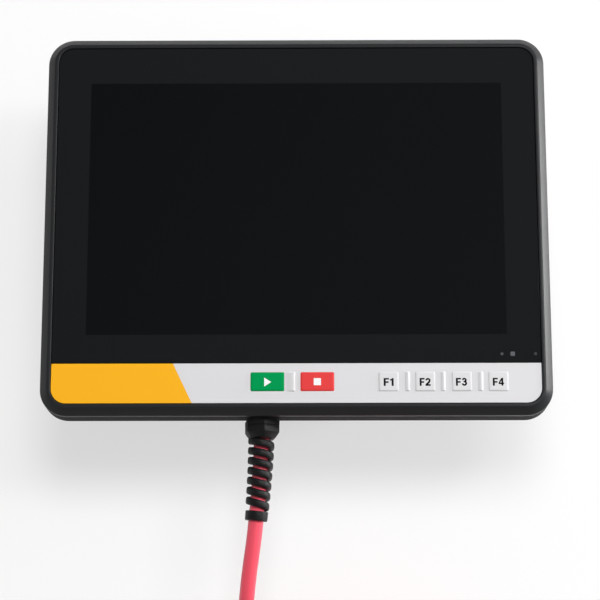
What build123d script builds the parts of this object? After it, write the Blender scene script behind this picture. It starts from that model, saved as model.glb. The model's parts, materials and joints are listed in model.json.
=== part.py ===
from build123d import *
import os
from math import atan2, degrees, pi, radians, tan

os.makedirs("parts", exist_ok=True)

# The pendant lies on its back, screen up. X runs to its right, Y to its top edge and Z out of
# the screen. The origin is on the table, under the middle of the housing. All sizes in mm.

# Housing, outer form
body_w = 268.0
body_h = 207.0
corner_r = 14.0
back_z = 52.0           # height of the housing's flat back above the table
housing_depth = 36.0    # flat back to rim
rim_chamfer = 4.0
rim_flat = 1.9
bezel_side = 2.5        # straight side of the bezel under its chamfer
shoulder_drop = 19.5    # rim down to where the sides start to taper
back_taper = 40.0       # degrees
wall = 3.2
fit_gap = 0.3           # room between parts that drop into each other
slide_gap = 0.3         # room round a part that is pressed in

rim_z = back_z + housing_depth
chamfer_z = rim_z - rim_chamfer
parting_z = chamfer_z - bezel_side
shoulder_z = rim_z - shoulder_drop
opening_w = body_w - 2 * (rim_chamfer + rim_flat)
opening_h = body_h - 2 * (rim_chamfer + rim_flat)
opening_r = corner_r - rim_chamfer - rim_flat
inner_w = body_w - 2 * wall
inner_h = body_h - 2 * wall
inner_r = corner_r - wall
wall_y = -body_h / 2    # outer face of the bottom wall

# Glass, display and keypad strip
glass_recess = 0.5      # glass below the rim
glass_t = 3.0
gasket_t = 0.5
gasket_w = 4.0
ledge_w = 7.0           # ledge under the edge of the glass
ledge_t = 4.5
strip_h = 21.4
strip_bar_w = 5.0       # crossbar of the bezel under the joint of glass and keypad
display_side_gap = 6.35  # window in the bezel to the display panel
display_top_gap = 7.9
display_bottom_gap = 7.4
display_t = 1.4
backlight_r = 2.0
glass_z = rim_z - glass_recess
glass_under_z = glass_z - glass_t
ledge_z = glass_under_z - gasket_t
ledge_under_z = ledge_z - ledge_t
strip_top_y = -opening_h / 2 + strip_h
glass_w = opening_w - 2 * fit_gap
glass_top_y = opening_h / 2 - fit_gap
glass_bottom_y = strip_top_y + fit_gap / 2
glass_h = glass_top_y - glass_bottom_y
glass_y = (glass_top_y + glass_bottom_y) / 2
window_w = opening_w - 2 * ledge_w
window_top_y = opening_h / 2 - ledge_w
window_bottom_y = strip_top_y + strip_bar_w / 2
display_w = window_w - 2 * display_side_gap
display_top_y = window_top_y - display_top_gap
display_bottom_y = window_bottom_y + display_bottom_gap
display_h = display_top_y - display_bottom_y
display_y = (display_top_y + display_bottom_y) / 2
key_window_top_y = strip_top_y - strip_bar_w / 2
key_window_bottom_y = -opening_h / 2 + ledge_w - 1.0
pane_r = opening_r - fit_gap

# Keypad
overlay_t = 0.8
overlay_h = strip_h - 1.5 * fit_gap
overlay_y = -opening_h / 2 + fit_gap + overlay_h / 2
key_from_edge = 17.4    # middle of the keys from the housing's lower edge
key_rise = 0.5          # embossed keys above the overlay
key_travel = 0.5
key_lip = 1.0
key_lip_t = 1.0
key_lip_gap = 0.1       # lip under the carrier
key_r = 0.8
press_key_w = 17.6      # start and stop keys
press_key_h = 10.0
soft_key_w = 10.6       # F1 to F4
soft_key_h = 10.6
soft_key_pitch = 19.05
press_key_pitch = 26.0
press_key_space = 37.1  # middle of the stop key to the middle of F1
soft_key_side = 28.75   # middle of F4 from the housing's right side
soft_key_count = 4
ridge_w = 2.6
ridge_rise = 0.35
dome_r = 4.0
dome_t = 0.5
dome_taper = 30.0
dome_gap = 0.1          # room left under a key that is pressed home
board_t = 1.6
board_r = 2.5
key_board_margin = 8.5
key_board_lap = 2.0     # keypad's board past the window on each side
key_board_gap = 0.5     # keypad's board below the joint of glass and keypad
pipe_rise = 4.7         # light pipes above the keypad
pipe_sides = (26.6, 21.0)  # light pipes from the housing's right side
pipe_r = 1.1
key_y = wall_y + key_from_edge
soft_key_x = body_w / 2 - soft_key_side - (soft_key_count - 1) * soft_key_pitch
stop_key_x = soft_key_x - press_key_space
start_key_x = stop_key_x - press_key_pitch
pipe_y = strip_top_y + pipe_rise

# Chassis and electronics
chassis_t = 1.5
chassis_margin = 5.5
chassis_r = 6.0
chassis_clear = 2.0     # between the chassis and the keypad's board
board_side = 32.8       # main board from the inner wall on the left
board_stop_gap = 3.0    # main board to the stop button's contact block
board_h = 96.0
board_y = 18.0
standoff_r = 2.75
standoff_len = 10.4
standoff_inset = 6.0
sink_w = 46.0
sink_d = 46.0
sink_fins = 9
sink_fin_t = 1.6
sink_base_t = 3.0
sink_x = -20.0
sink_y = 26.0
socket_w = 22.0
socket_d = 8.0
socket_t = 6.0
socket_wall = 1.5
socket_floor = 1.0
socket_inset = 2.0      # sockets in from the board's edge
socket_xs = (-70.0, -40.0, 30.0)
ribbon_w = 26.0
ribbon_t = 0.4
ribbon_x = 60.0
ribbon_lap = 6.0        # ribbon along the keypad's board
ribbon_bow = 3.0        # its loop below the main board
ribbon_r = 2.0

# Rear hump that the hand lies on, a cover of its own
hump_w = 104.0
hump_end = 41.5         # end of the hump from the housing's edge
hump_depth = 18.0
hump_r = 26.0
hump_taper = 8.0
hump_edge_r = 5.0
hump_open_side = 21.0   # edge of the hump to the opening in the housing's back under it
hump_open_end = 18.0
hump_open_r = 8.0
hump_screw_side = 16.0  # edge of the hump to its screws
hump_screw_end = 14.0
hump_post_r = 5.4
hump_boss_h = 4.0       # bosses inside the housing that take the hump's screws
shoulder_edge_r = 4.0
hump_z = back_z - hump_depth
hump_h = body_h - 2 * hump_end
floor_z = back_z + wall

# Housing screws
screw_r = 1.5
screw_clear = 0.15
screw_head_r = 3.2
screw_head_t = 2.4
screw_sink = 3.0
screw_post_r = 5.2
screw_side = 26.0       # screws from the housing's edges
screw_top = 23.5
screw_bottom = 41.5
seal_w = 1.2
seal_t = 1.0

# Strap brackets, strap and feet
bracket_gap = 0.8       # bracket to the end of the hump
bracket_w = 92.0
bracket_base_d = 25.0
bracket_base_t = 5.0
bracket_r = 5.0
bracket_tip_d = 14.0
ear_t = 12.0
ear_edge_r = 2.0
foot_t = 3.0
foot_inset = 1.5
foot_r = 2.0
pin_z = 10.0
pin_r = 2.5
pin_bore_clear = 0.05
pin_inset = 1.0         # ends of the pins inside the ears
strap_side_gap = 3.0    # strap to the ears
strap_t = 2.2
strap_pin_gap = 0.3
strap_return = 22.5
pad_over = 2.0          # pad wider than the strap on each side
pad_end = 10.0          # pad's end from the end of the hump
pad_t = 7.0
pad_r = 12.0
bracket_screw_x = 14.0
bracket_screw_r = 2.0
bracket_head_r = 3.6
bracket_head_t = 2.2
bracket_post_r = 5.0
bracket_post_h = 6.0
bracket_y = hump_h / 2 + bracket_gap + bracket_base_d / 2
strap_w = bracket_w - 2 * (ear_t + strap_side_gap)
pad_w = strap_w + 2 * pad_over
pad_h = hump_h - 2 * pad_end
bracket_screw_short = 1.0  # screw's tip below the top of its post

# Enabling switches in the flanks of the hump
enable_end = 32.0       # end of the button from the end of the hump
enable_h = 9.4
enable_drop = 7.0       # middle of the button behind the housing's back
enable_proud = 7.0
enable_travel = 4.0
enable_flange = 2.0
enable_flange_t = 1.5
enable_crown_r = 2.5
enable_len = hump_h - 2 * enable_end
enable_z = back_z - enable_drop
switch_gap = 0.6
switch_w = 14.0
switch_len = 40.0
switch_h = 12.0
switch_r = 1.5
plunger_r = 2.5

# Emergency stop on the back
stop_shift = 5.0        # in from midway between the hump and the housing's side
stop_top = 53.5         # from the housing's top edge
stop_head_r = 15.0
stop_head_t = 12.0
stop_crown = 2.4
stop_flat_r = 2.0
stop_edge_r = 2.5
stop_neck_r = 9.0
stop_neck_t = 8.0
stop_neck_flare = 1.0
stop_stem_r = 6.0
stop_travel = 4.0
stop_collar_r = 20.0
stop_collar_t = 3.0
stop_thread_r = 11.0
stop_thread_len = 12.0
stop_hole_clear = 0.15
stop_nut_af = 30.0
stop_nut_t = 4.0
stop_block_w = 30.0
stop_block_h = 38.0
stop_block_r = 2.0
stop_x = (hump_w + body_w) / 4 - stop_shift
stop_y = body_h / 2 - stop_top
running_clear = 0.05

# Cable gland with its spiral bend protector
gland_x = -18.0
gland_rise = 19.5       # above the housing's back
gland_z = back_z + gland_rise
gland_thread_r = 6.0
gland_hole_clear = 0.1
gland_af = 17.0
gland_turn = 9.0        # degrees that the hexagon's upper corner leans to the right
gland_seal_t = 1.0
gland_seal_r = 8.4
gland_flange_t = 2.2
gland_top_r = 7.2
gland_top_len = 6.0
gland_nut_t = 3.6
gland_nut_af = 15.0
gland_insert_r = 6.0
gland_inside_len = 11.4
gland_boss_r = 9.4
gland_boss_t = 7.2
cap_hex_len = 3.3
cap_cone_len = 3.7
cap_cone_r = 7.0
cap_clear = 0.1
cap_bore_r = 5.2
spiral_start_gap = 1.35  # middle of the band starts this far past the cap
spiral_len = 38.0
spiral_pitch = 5.25
spiral_band = 3.9
spiral_t = 1.7
spiral_taper = 1.15     # degrees
spiral_r = 7.0
spiral_lean = 4.0       # degrees to the left
spiral_dip = 2.0        # degrees down
spiral_collar_r = 6.0
spiral_collar_len = 4.8

# Cable: diameter, hand-laid route to the coil, and the coil that holds the rest of it
cable_d = 8.0
cable_clear = 0.3
cable_route = [
    (-18.0, -92.5, 71.5),
    (-18.1, -118.0, 71.4),
    (-21.2, -160.0, 69.8),
    (-25.4, -188.0, 66.0),
    (-27.6, -216.0, 57.0),
    (-29.4, -244.0, 45.5),
    (-29.9, -271.0, 39.1),
]
tail_route = [
    (61.8, -332.6, 5.9),
    (76.0, -333.1, 7.9),
    (92.0, -333.0, 13.2),
    (108.0, -333.0, 13.2),
]
coil_mid_r = 48.0
coil_x = 30.4
coil_y = -272.0
coil_layers = 4         # as many turns beside each other as on each other
coil_pitch = 8.2
coil_lift = 1.8
coil_slack = 0.6
tie_w = 10.0
tie_t = 1.2
tie_gap = 0.6
tie_angles = (35.0, 215.0)

# Circular plug on the far end
plug_start_x = 108.0
plug_y = -333.0
plug_z = 13.2
shell_cone_len = 20.0
shell_cone_start = 6.0
shell_cone_r = 5.4
shell_r = 10.5
shell_grip_len = 16.0
shell_grooves = 4
shell_groove_w = 1.2
shell_groove_depth = 0.6
barrel_r = 10.6
barrel_flange_t = 3.0
barrel_neck_r = 9.0
nose_r = 8.8
nose_len = 8.0
nose_wall = 1.1
insert_recess = 6.5
ring_r = 13.0
ring_len = 15.0
ring_wall = 2.2
ring_web = 6.0
ring_stop_r = 10.2
ring_stop_t = 1.5
ring_grooves = 20
ring_groove_r = 1.1
contact_r = 0.5
contact_len = 5.0
contact_circle_r = 5.2
contact_count = 12


def save(piece, name):
    """Name a finished piece and write it to its own file."""
    piece.part.label = name
    export_step(piece.part, f"parts/{name}.step")


# Bezel: chamfered rim, ledge for the glass, crossbar and locating tongue
with BuildPart() as front_bezel:
    with BuildSketch(Plane.XY.offset(parting_z)):
        RectangleRounded(body_w, body_h, corner_r)
    extrude(amount=rim_z - parting_z)
    chamfer(front_bezel.faces().sort_by(Axis.Z)[-1].edges(), rim_chamfer)
    with BuildSketch(Plane.XY.offset(ledge_under_z)):
        RectangleRounded(inner_w - 2 * fit_gap, inner_h - 2 * fit_gap, inner_r - fit_gap)
    extrude(amount=parting_z - ledge_under_z)
    with BuildSketch(Plane.XY.offset(ledge_z)):
        RectangleRounded(opening_w, opening_h, opening_r)
    extrude(amount=rim_z - ledge_z, mode=Mode.SUBTRACT)
    with BuildSketch(Plane.XY.offset(ledge_under_z)):
        with Locations((0, (window_top_y + window_bottom_y) / 2)):
            RectangleRounded(window_w, window_top_y - window_bottom_y, opening_r / 2)
        with Locations((0, (key_window_top_y + key_window_bottom_y) / 2)):
            RectangleRounded(window_w, key_window_top_y - key_window_bottom_y, opening_r / 4)
    extrude(amount=ledge_t, mode=Mode.SUBTRACT)
save(front_bezel, "front_bezel")

# Glass: rounded corners at the top edge, square ones at the keypad
with BuildPart() as cover_glass:
    with BuildSketch(Plane.XY.offset(glass_under_z)) as glass_outline:
        with Locations((0, glass_y)):
            Rectangle(glass_w, glass_h)
        fillet(glass_outline.vertices().group_by(Axis.Y)[-1], pane_r)
    extrude(amount=glass_t)
save(cover_glass, "cover_glass")

with BuildPart() as glass_gasket:
    with BuildSketch(Plane.XY.offset(ledge_z)) as gasket_outline:
        with Locations((0, glass_y)):
            Rectangle(glass_w, glass_h)
        fillet(gasket_outline.vertices().group_by(Axis.Y)[-1], pane_r)
        with Locations((0, glass_y)):
            Rectangle(glass_w - 2 * gasket_w, glass_h - gasket_w - strip_bar_w / 2, mode=Mode.SUBTRACT)
    extrude(amount=gasket_t)
save(glass_gasket, "glass_gasket")

with BuildPart() as display_panel:
    with BuildSketch(Plane.XY.offset(glass_under_z)):
        with Locations((0, display_y)):
            Rectangle(display_w, display_h)
    extrude(amount=-display_t)
save(display_panel, "display_panel")

backlight_z = glass_under_z - display_t
with BuildPart() as backlight:
    with BuildSketch(Plane.XY.offset(backlight_z)):
        with Locations((0, display_y)):
            RectangleRounded(display_w, display_h, backlight_r)
    extrude(amount=ledge_under_z - backlight_z)
save(backlight, "backlight")

# Light pipes that carry the two indicator lights up to the glass
with BuildPart() as light_pipes:
    with BuildSketch(Plane.XY.offset(ledge_under_z)):
        with Locations(*[(x, pipe_y) for x in [body_w / 2 - side for side in pipe_sides]]):
            Circle(pipe_r)
    extrude(amount=glass_under_z - ledge_under_z)
save(light_pipes, "light_pipes")

# Keys: name, centre and size of each
keys = {
    "start_key": (start_key_x, press_key_w, press_key_h),
    "stop_key": (stop_key_x, press_key_w, press_key_h),
}
for number in range(soft_key_count):
    keys[f"f{number + 1}_key"] = (soft_key_x + number * soft_key_pitch, soft_key_w, soft_key_h)
overlay_under_z = glass_z - overlay_t
ridge_xs = [(start_key_x + stop_key_x) / 2]
ridge_xs += [soft_key_x + (number + 0.5) * soft_key_pitch for number in range(soft_key_count - 1)]

# Printed film of the keypad, embossed with a ridge between neighbouring keys
with BuildPart() as keypad_overlay:
    with BuildSketch(Plane.XY.offset(overlay_under_z)) as overlay_outline:
        with Locations((0, overlay_y)):
            Rectangle(glass_w, overlay_h)
        fillet(overlay_outline.vertices().group_by(Axis.Y)[0], pane_r)
        for x, width, height in keys.values():
            with Locations((x, key_y)):
                RectangleRounded(width + 2 * slide_gap, height + 2 * slide_gap, key_r + slide_gap,
                                 mode=Mode.SUBTRACT)
    extrude(amount=overlay_t)
    with BuildSketch(Plane.XY.offset(glass_z)):
        with Locations(*[(x, key_y) for x in ridge_xs]):
            RectangleRounded(ridge_w, soft_key_h, ridge_w / 3)
    extrude(amount=ridge_rise)
save(keypad_overlay, "keypad_overlay")

# Stiff carrier under the film
with BuildPart() as keypad_carrier:
    with BuildSketch(Plane.XY.offset(ledge_z)) as carrier_outline:
        with Locations((0, overlay_y)):
            Rectangle(glass_w, overlay_h)
        fillet(carrier_outline.vertices().group_by(Axis.Y)[0], pane_r)
        for x, width, height in keys.values():
            with Locations((x, key_y)):
                RectangleRounded(width + 2 * slide_gap, height + 2 * slide_gap, key_r + slide_gap,
                                 mode=Mode.SUBTRACT)
    extrude(amount=overlay_under_z - ledge_z)
save(keypad_carrier, "keypad_carrier")

# Each key: a cap through film and carrier, with a lip under the carrier that holds it in
key_top_z = glass_z + key_rise
key_lip_z = ledge_z - key_lip_gap
key_under_z = ledge_under_z + dome_t + dome_gap + key_travel
for name, (x, width, height) in keys.items():
    with BuildPart() as key:
        with BuildSketch(Plane.XY.offset(key_under_z)):
            with Locations((x, key_y)):
                RectangleRounded(width, height, key_r)
        extrude(amount=key_top_z - key_under_z)
        fillet(key.faces().sort_by(Axis.Z)[-1].edges(), key_rise * 0.7)
        with BuildSketch(Plane.XY.offset(key_lip_z)):
            with Locations((x, key_y)):
                RectangleRounded(width + 2 * key_lip, height, key_r)
        extrude(amount=-key_lip_t)
    save(key, name)

with BuildPart() as key_domes:
    with BuildSketch(Plane.XY.offset(ledge_under_z)):
        with Locations(*[(x, key_y) for x, width, height in keys.values()]):
            Circle(dome_r)
    extrude(amount=dome_t, taper=dome_taper)
save(key_domes, "key_domes")

key_board_top_y = strip_top_y - key_board_gap
key_board_bottom_y = -inner_h / 2 + key_board_margin
with BuildPart() as keypad_board:
    with BuildSketch(Plane.XY.offset(ledge_under_z)):
        with Locations((0, (key_board_top_y + key_board_bottom_y) / 2)):
            RectangleRounded(window_w + 2 * key_board_lap, key_board_top_y - key_board_bottom_y, board_r)
    extrude(amount=-board_t)
save(keypad_board, "keypad_board")

# Chassis plate across the housing behind the display
chassis_top_y = inner_h / 2 - chassis_margin
chassis_bottom_y = key_board_top_y + chassis_clear
chassis_under_z = ledge_under_z - chassis_t
board_left_x = -inner_w / 2 + board_side
board_right_x = stop_x - stop_block_w / 2 - board_stop_gap
board_w = board_right_x - board_left_x
board_x = (board_left_x + board_right_x) / 2
standoff_xs = board_w - 2 * standoff_inset
standoff_ys = board_h - 2 * standoff_inset
screw_x = body_w / 2 - screw_side
screw_top_y = body_h / 2 - screw_top
screw_bottom_y = -body_h / 2 + screw_bottom
screw_ys = (screw_bottom_y, (screw_bottom_y + screw_top_y) / 2, screw_top_y)
screw_spots = [(side * screw_x, y) for side in (-1, 1) for y in screw_ys]
with BuildPart() as chassis_plate:
    with BuildSketch(Plane.XY.offset(ledge_under_z)):
        with Locations((0, (chassis_top_y + chassis_bottom_y) / 2)):
            RectangleRounded(inner_w - 2 * chassis_margin, chassis_top_y - chassis_bottom_y, chassis_r)
        with Locations(*screw_spots):
            Circle(screw_r + screw_clear, mode=Mode.SUBTRACT)
    extrude(amount=-chassis_t)
save(chassis_plate, "chassis_plate")

with BuildPart() as board_standoffs:
    with BuildSketch(Plane.XY.offset(chassis_under_z)):
        with Locations((board_x, board_y)):
            with GridLocations(standoff_xs, standoff_ys, 2, 2):
                RegularPolygon(standoff_r, 6)
    extrude(amount=-standoff_len)
save(board_standoffs, "board_standoffs")

board_z = chassis_under_z - standoff_len
with BuildPart() as main_board:
    with BuildSketch(Plane.XY.offset(board_z)):
        with Locations((board_x, board_y)):
            RectangleRounded(board_w, board_h, board_r)
            with GridLocations(standoff_xs, standoff_ys, 2, 2):
                Circle(standoff_r / 2, mode=Mode.SUBTRACT)
    extrude(amount=-board_t)
save(main_board, "main_board")

# Finned heat sink between the processor's side of the board and the chassis
with BuildPart() as heat_sink:
    with BuildSketch(Plane.XY.offset(board_z)):
        with Locations((sink_x, sink_y)):
            Rectangle(sink_w, sink_d)
    extrude(amount=sink_base_t)
    with BuildSketch(Plane.XY.offset(board_z + sink_base_t)):
        with Locations((sink_x, sink_y)):
            with GridLocations((sink_w - sink_fin_t) / (sink_fins - 1), 0, sink_fins, 1):
                Rectangle(sink_fin_t, sink_d)
    extrude(amount=standoff_len - sink_base_t)
save(heat_sink, "heat_sink")

socket_y = board_y - board_h / 2 + socket_d / 2 + socket_inset
with BuildPart() as board_sockets:
    with BuildSketch(Plane.XY.offset(board_z - board_t)):
        with Locations(*[(x, socket_y) for x in socket_xs]):
            Rectangle(socket_w, socket_d)
    extrude(amount=-socket_t)
    with BuildSketch(Plane.XY.offset(board_z - board_t - socket_t)):
        with Locations(*[(x, socket_y) for x in socket_xs]):
            Rectangle(socket_w - 2 * socket_wall, socket_d - 2 * socket_wall)
    extrude(amount=socket_t - socket_floor, mode=Mode.SUBTRACT)
save(board_sockets, "board_sockets")

# Flat ribbon round the lower edge of the chassis, from the keypad's board to the main board
main_board_under_z = board_z - board_t
with BuildPart() as keypad_ribbon:
    with BuildSketch(Plane.YZ.offset(ribbon_x)):
        with BuildLine():
            FilletPolyline(
                (key_board_top_y - ribbon_lap, ledge_under_z - board_t - ribbon_t / 2),
                (key_board_top_y + chassis_clear, main_board_under_z + ribbon_lap),
                (socket_y - socket_d / 2, main_board_under_z - ribbon_t / 2 - ribbon_bow),
                (socket_y + socket_d, main_board_under_z - ribbon_t / 2),
                radius=ribbon_r,
            )
        trace(line_width=ribbon_t)
    extrude(amount=ribbon_w / 2, both=True)
save(keypad_ribbon, "keypad_ribbon")

# Rear housing: straight side, taper and walls, with posts for its screws
stop_spot = (stop_x, stop_y)
bracket_spots = [(sx * bracket_screw_x, sy * bracket_y) for sx in (-1, 1) for sy in (-1, 1)]
hump_screw_x = hump_w / 2 - hump_screw_side
hump_screw_y = hump_h / 2 - hump_screw_end
hump_spots = [(sx * hump_screw_x, sy * hump_screw_y) for sx in (-1, 1) for sy in (-1, 1)]
gland_plane = Plane(origin=(gland_x, wall_y, gland_z), x_dir=(1, 0, 0), z_dir=(0, -1, 0))
with BuildPart() as rear_housing:
    with BuildSketch(Plane.XY.offset(parting_z)):
        RectangleRounded(body_w, body_h, corner_r)
    extrude(amount=shoulder_z - parting_z)
    with BuildSketch(Plane.XY.offset(shoulder_z)):
        RectangleRounded(body_w, body_h, corner_r)
    extrude(amount=back_z - shoulder_z, taper=back_taper)
    fillet(rear_housing.faces().sort_by(Axis.Z)[0].edges(), shoulder_edge_r)
    # Boss that squares the tapered wall up to the cable gland
    with BuildSketch(gland_plane.offset(-gland_boss_t)):
        Circle(gland_boss_r)
    extrude(amount=gland_boss_t)
    # Cavity
    with BuildSketch(Plane.XY.offset(parting_z)):
        RectangleRounded(inner_w, inner_h, inner_r)
    extrude(amount=shoulder_z - parting_z, mode=Mode.SUBTRACT)
    with BuildSketch(Plane.XY.offset(shoulder_z)):
        RectangleRounded(inner_w, inner_h, inner_r)
    extrude(amount=floor_z - shoulder_z, taper=back_taper, mode=Mode.SUBTRACT)
    with BuildSketch(Plane.XY.offset(back_z)):
        RectangleRounded(hump_w - 2 * hump_open_side, hump_h - 2 * hump_open_end, hump_open_r)
    extrude(amount=wall, mode=Mode.SUBTRACT)
    # What stands up inside: gland pad, screw posts, bosses for the hump and bracket posts
    with BuildSketch(gland_plane.offset(-gland_boss_t)):
        Circle(gland_boss_r)
        with Locations((0, ledge_under_z - fit_gap - gland_z + gland_boss_r)):
            Rectangle(2 * gland_boss_r, 2 * gland_boss_r, mode=Mode.SUBTRACT)
    extrude(amount=gland_boss_t)
    with BuildSketch(Plane.XY.offset(back_z)):
        with Locations(*screw_spots):
            Circle(screw_post_r)
    extrude(amount=chassis_under_z - back_z)
    with BuildSketch(Plane.XY.offset(back_z)):
        with Locations(*hump_spots):
            Circle(hump_post_r)
    extrude(amount=wall + hump_boss_h)
    with BuildSketch(Plane.XY.offset(back_z)):
        with Locations(*bracket_spots):
            Circle(bracket_post_r)
    extrude(amount=wall + bracket_post_h)
    # Holes
    with BuildSketch(Plane.XY.offset(back_z)):
        with Locations(*screw_spots):
            Circle(screw_r + screw_clear)
    extrude(amount=chassis_under_z - back_z, mode=Mode.SUBTRACT)
    with BuildSketch(Plane.XY.offset(back_z)):
        with Locations(*screw_spots):
            Circle(screw_head_r + screw_clear)
    extrude(amount=screw_sink, mode=Mode.SUBTRACT)
    with BuildSketch(Plane.XY.offset(back_z)):
        with Locations(*hump_spots):
            Circle(screw_r + screw_clear)
        with Locations(*bracket_spots):
            Circle(bracket_screw_r + screw_clear)
        with Locations(stop_spot):
            Circle(stop_thread_r + stop_hole_clear)
    extrude(amount=wall + bracket_post_h, mode=Mode.SUBTRACT)
    with BuildSketch(gland_plane):
        Circle(gland_thread_r + gland_hole_clear)
    extrude(amount=-gland_inside_len, mode=Mode.SUBTRACT)
    # Groove for the seal round the rim
    with BuildSketch(Plane.XY.offset(parting_z)):
        RectangleRounded(body_w - wall + seal_w, body_h - wall + seal_w, corner_r - (wall - seal_w) / 2)
        RectangleRounded(body_w - wall - seal_w, body_h - wall - seal_w, corner_r - (wall + seal_w) / 2,
                         mode=Mode.SUBTRACT)
    extrude(amount=-seal_t, mode=Mode.SUBTRACT)
save(rear_housing, "rear_housing")

# Hump cover: the hollow form that the hand lies on, with a slot in each flank
with BuildPart() as hump_cover:
    with BuildSketch(Plane.XY.offset(back_z)):
        RectangleRounded(hump_w, hump_h, hump_r)
    extrude(amount=hump_z - back_z, taper=hump_taper)
    fillet(hump_cover.faces().sort_by(Axis.Z)[0].edges(), hump_edge_r)
    with BuildSketch(Plane.XY.offset(back_z)):
        RectangleRounded(hump_w - 2 * wall, hump_h - 2 * wall, hump_r - wall)
    extrude(amount=hump_z + wall - back_z, taper=hump_taper, mode=Mode.SUBTRACT)
    with BuildSketch(Plane.XY.offset(hump_z + wall)):
        with Locations(*hump_spots):
            Circle(hump_post_r)
    extrude(amount=back_z - hump_z - wall)
    with BuildSketch(Plane.XY.offset(hump_z)):
        with Locations(*hump_spots):
            Circle(screw_r + screw_clear)
    extrude(amount=back_z - hump_z, mode=Mode.SUBTRACT)
    with BuildSketch(Plane.XY.offset(hump_z)):
        with Locations(*hump_spots):
            Circle(screw_head_r + screw_clear)
    extrude(amount=screw_sink, mode=Mode.SUBTRACT)
    with BuildSketch(Plane.YZ.offset(-hump_w)):
        with Locations((0, enable_z)):
            SlotOverall(enable_len + 2 * slide_gap, enable_h + 2 * slide_gap)
    extrude(amount=2 * hump_w, mode=Mode.SUBTRACT)
save(hump_cover, "hump_cover")

hump_seat_z = hump_z + screw_sink
with BuildPart() as hump_screws:
    with BuildSketch(Plane.XY.offset(hump_seat_z)):
        with Locations(*hump_spots):
            Circle(screw_head_r)
            RegularPolygon(screw_r, 6, mode=Mode.SUBTRACT)
    extrude(amount=-screw_head_t)
    with BuildSketch(Plane.XY.offset(hump_seat_z - screw_head_t / 2)):
        with Locations(*hump_spots):
            Circle(screw_r)
    extrude(amount=floor_z + hump_boss_h - hump_seat_z + screw_head_t / 2)
save(hump_screws, "hump_screws")

with BuildPart() as housing_seal:
    with BuildSketch(Plane.XY.offset(parting_z)):
        RectangleRounded(body_w - wall + seal_w, body_h - wall + seal_w, corner_r - (wall - seal_w) / 2)
        RectangleRounded(body_w - wall - seal_w, body_h - wall - seal_w, corner_r - (wall + seal_w) / 2,
                         mode=Mode.SUBTRACT)
    extrude(amount=-seal_t)
save(housing_seal, "housing_seal")

# Screws from the back, through the posts into the chassis
head_seat_z = back_z + screw_sink
with BuildPart() as housing_screws:
    with BuildSketch(Plane.XY.offset(head_seat_z)):
        with Locations(*screw_spots):
            Circle(screw_head_r)
            RegularPolygon(screw_r, 6, mode=Mode.SUBTRACT)
    extrude(amount=-screw_head_t)
    with BuildSketch(Plane.XY.offset(head_seat_z - screw_head_t / 2)):
        with Locations(*screw_spots):
            Circle(screw_r)
    extrude(amount=ledge_under_z - head_seat_z + screw_head_t / 2)
save(housing_screws, "housing_screws")

# Strap brackets: a base on the housing's back and two ears that stand on the table
ear_top_z = back_z - bracket_base_t
ear_x = bracket_w / 2 - ear_t
for name, side in (("strap_bracket_top", 1), ("strap_bracket_bottom", -1)):
    with BuildPart() as bracket:
        with BuildSketch(Plane.XY.offset(back_z)):
            with Locations((0, side * bracket_y)):
                RectangleRounded(bracket_w, bracket_base_d, bracket_r)
        extrude(amount=-bracket_base_t)
        for ear_side in (-1, 1):
            with BuildSketch(Plane.YZ.offset(ear_side * ear_x)) as ear:
                with BuildLine():
                    Polyline(
                        (side * bracket_y - bracket_base_d / 2, ear_top_z),
                        (side * bracket_y - bracket_tip_d / 2, foot_t),
                        (side * bracket_y + bracket_tip_d / 2, foot_t),
                        (side * bracket_y + bracket_base_d / 2, ear_top_z),
                        close=True,
                    )
                make_face()
                fillet(ear.vertices().group_by(Axis.Y)[0], ear_edge_r)
            extrude(amount=ear_side * ear_t)
        with BuildSketch(Plane.YZ.offset(-bracket_w / 2)):
            with Locations((side * bracket_y, pin_z)):
                Circle(pin_r + pin_bore_clear)
        extrude(amount=bracket_w, mode=Mode.SUBTRACT)
        with BuildSketch(Plane.XY.offset(back_z)):
            with Locations(*[(x, side * bracket_y) for x in (-bracket_screw_x, bracket_screw_x)]):
                Circle(bracket_screw_r + screw_clear)
        extrude(amount=-bracket_base_t, mode=Mode.SUBTRACT)
        with BuildSketch(Plane.XY.offset(ear_top_z)):
            with Locations(*[(x, side * bracket_y) for x in (-bracket_screw_x, bracket_screw_x)]):
                Circle(bracket_head_r + screw_clear)
        extrude(amount=bracket_head_t, mode=Mode.SUBTRACT)
    save(bracket, name)

with BuildPart() as bracket_screws:
    with BuildSketch(Plane.XY.offset(ear_top_z)):
        with Locations(*bracket_spots):
            Circle(bracket_head_r)
            RegularPolygon(bracket_screw_r, 6, mode=Mode.SUBTRACT)
    extrude(amount=bracket_head_t)
    with BuildSketch(Plane.XY.offset(ear_top_z + bracket_head_t / 2)):
        with Locations(*bracket_spots):
            Circle(bracket_screw_r)
    extrude(amount=bracket_base_t - bracket_head_t / 2 + wall + bracket_post_h - bracket_screw_short)
save(bracket_screws, "bracket_screws")

with BuildPart() as strap_pins:
    with BuildSketch(Plane.YZ.offset(-bracket_w / 2 + pin_inset)):
        with Locations((bracket_y, pin_z), (-bracket_y, pin_z)):
            Circle(pin_r)
    extrude(amount=bracket_w - 2 * pin_inset)
save(strap_pins, "strap_pins")

foot_w = ear_t - 2 * foot_inset
foot_d = bracket_tip_d - 2 * foot_inset
with BuildPart() as rubber_feet:
    with BuildSketch(Plane.XY):
        with GridLocations(bracket_w - ear_t, 2 * bracket_y, 2, 2):
            RectangleRounded(foot_w, foot_d, foot_r)
    extrude(amount=foot_t)
save(rubber_feet, "rubber_feet")

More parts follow.
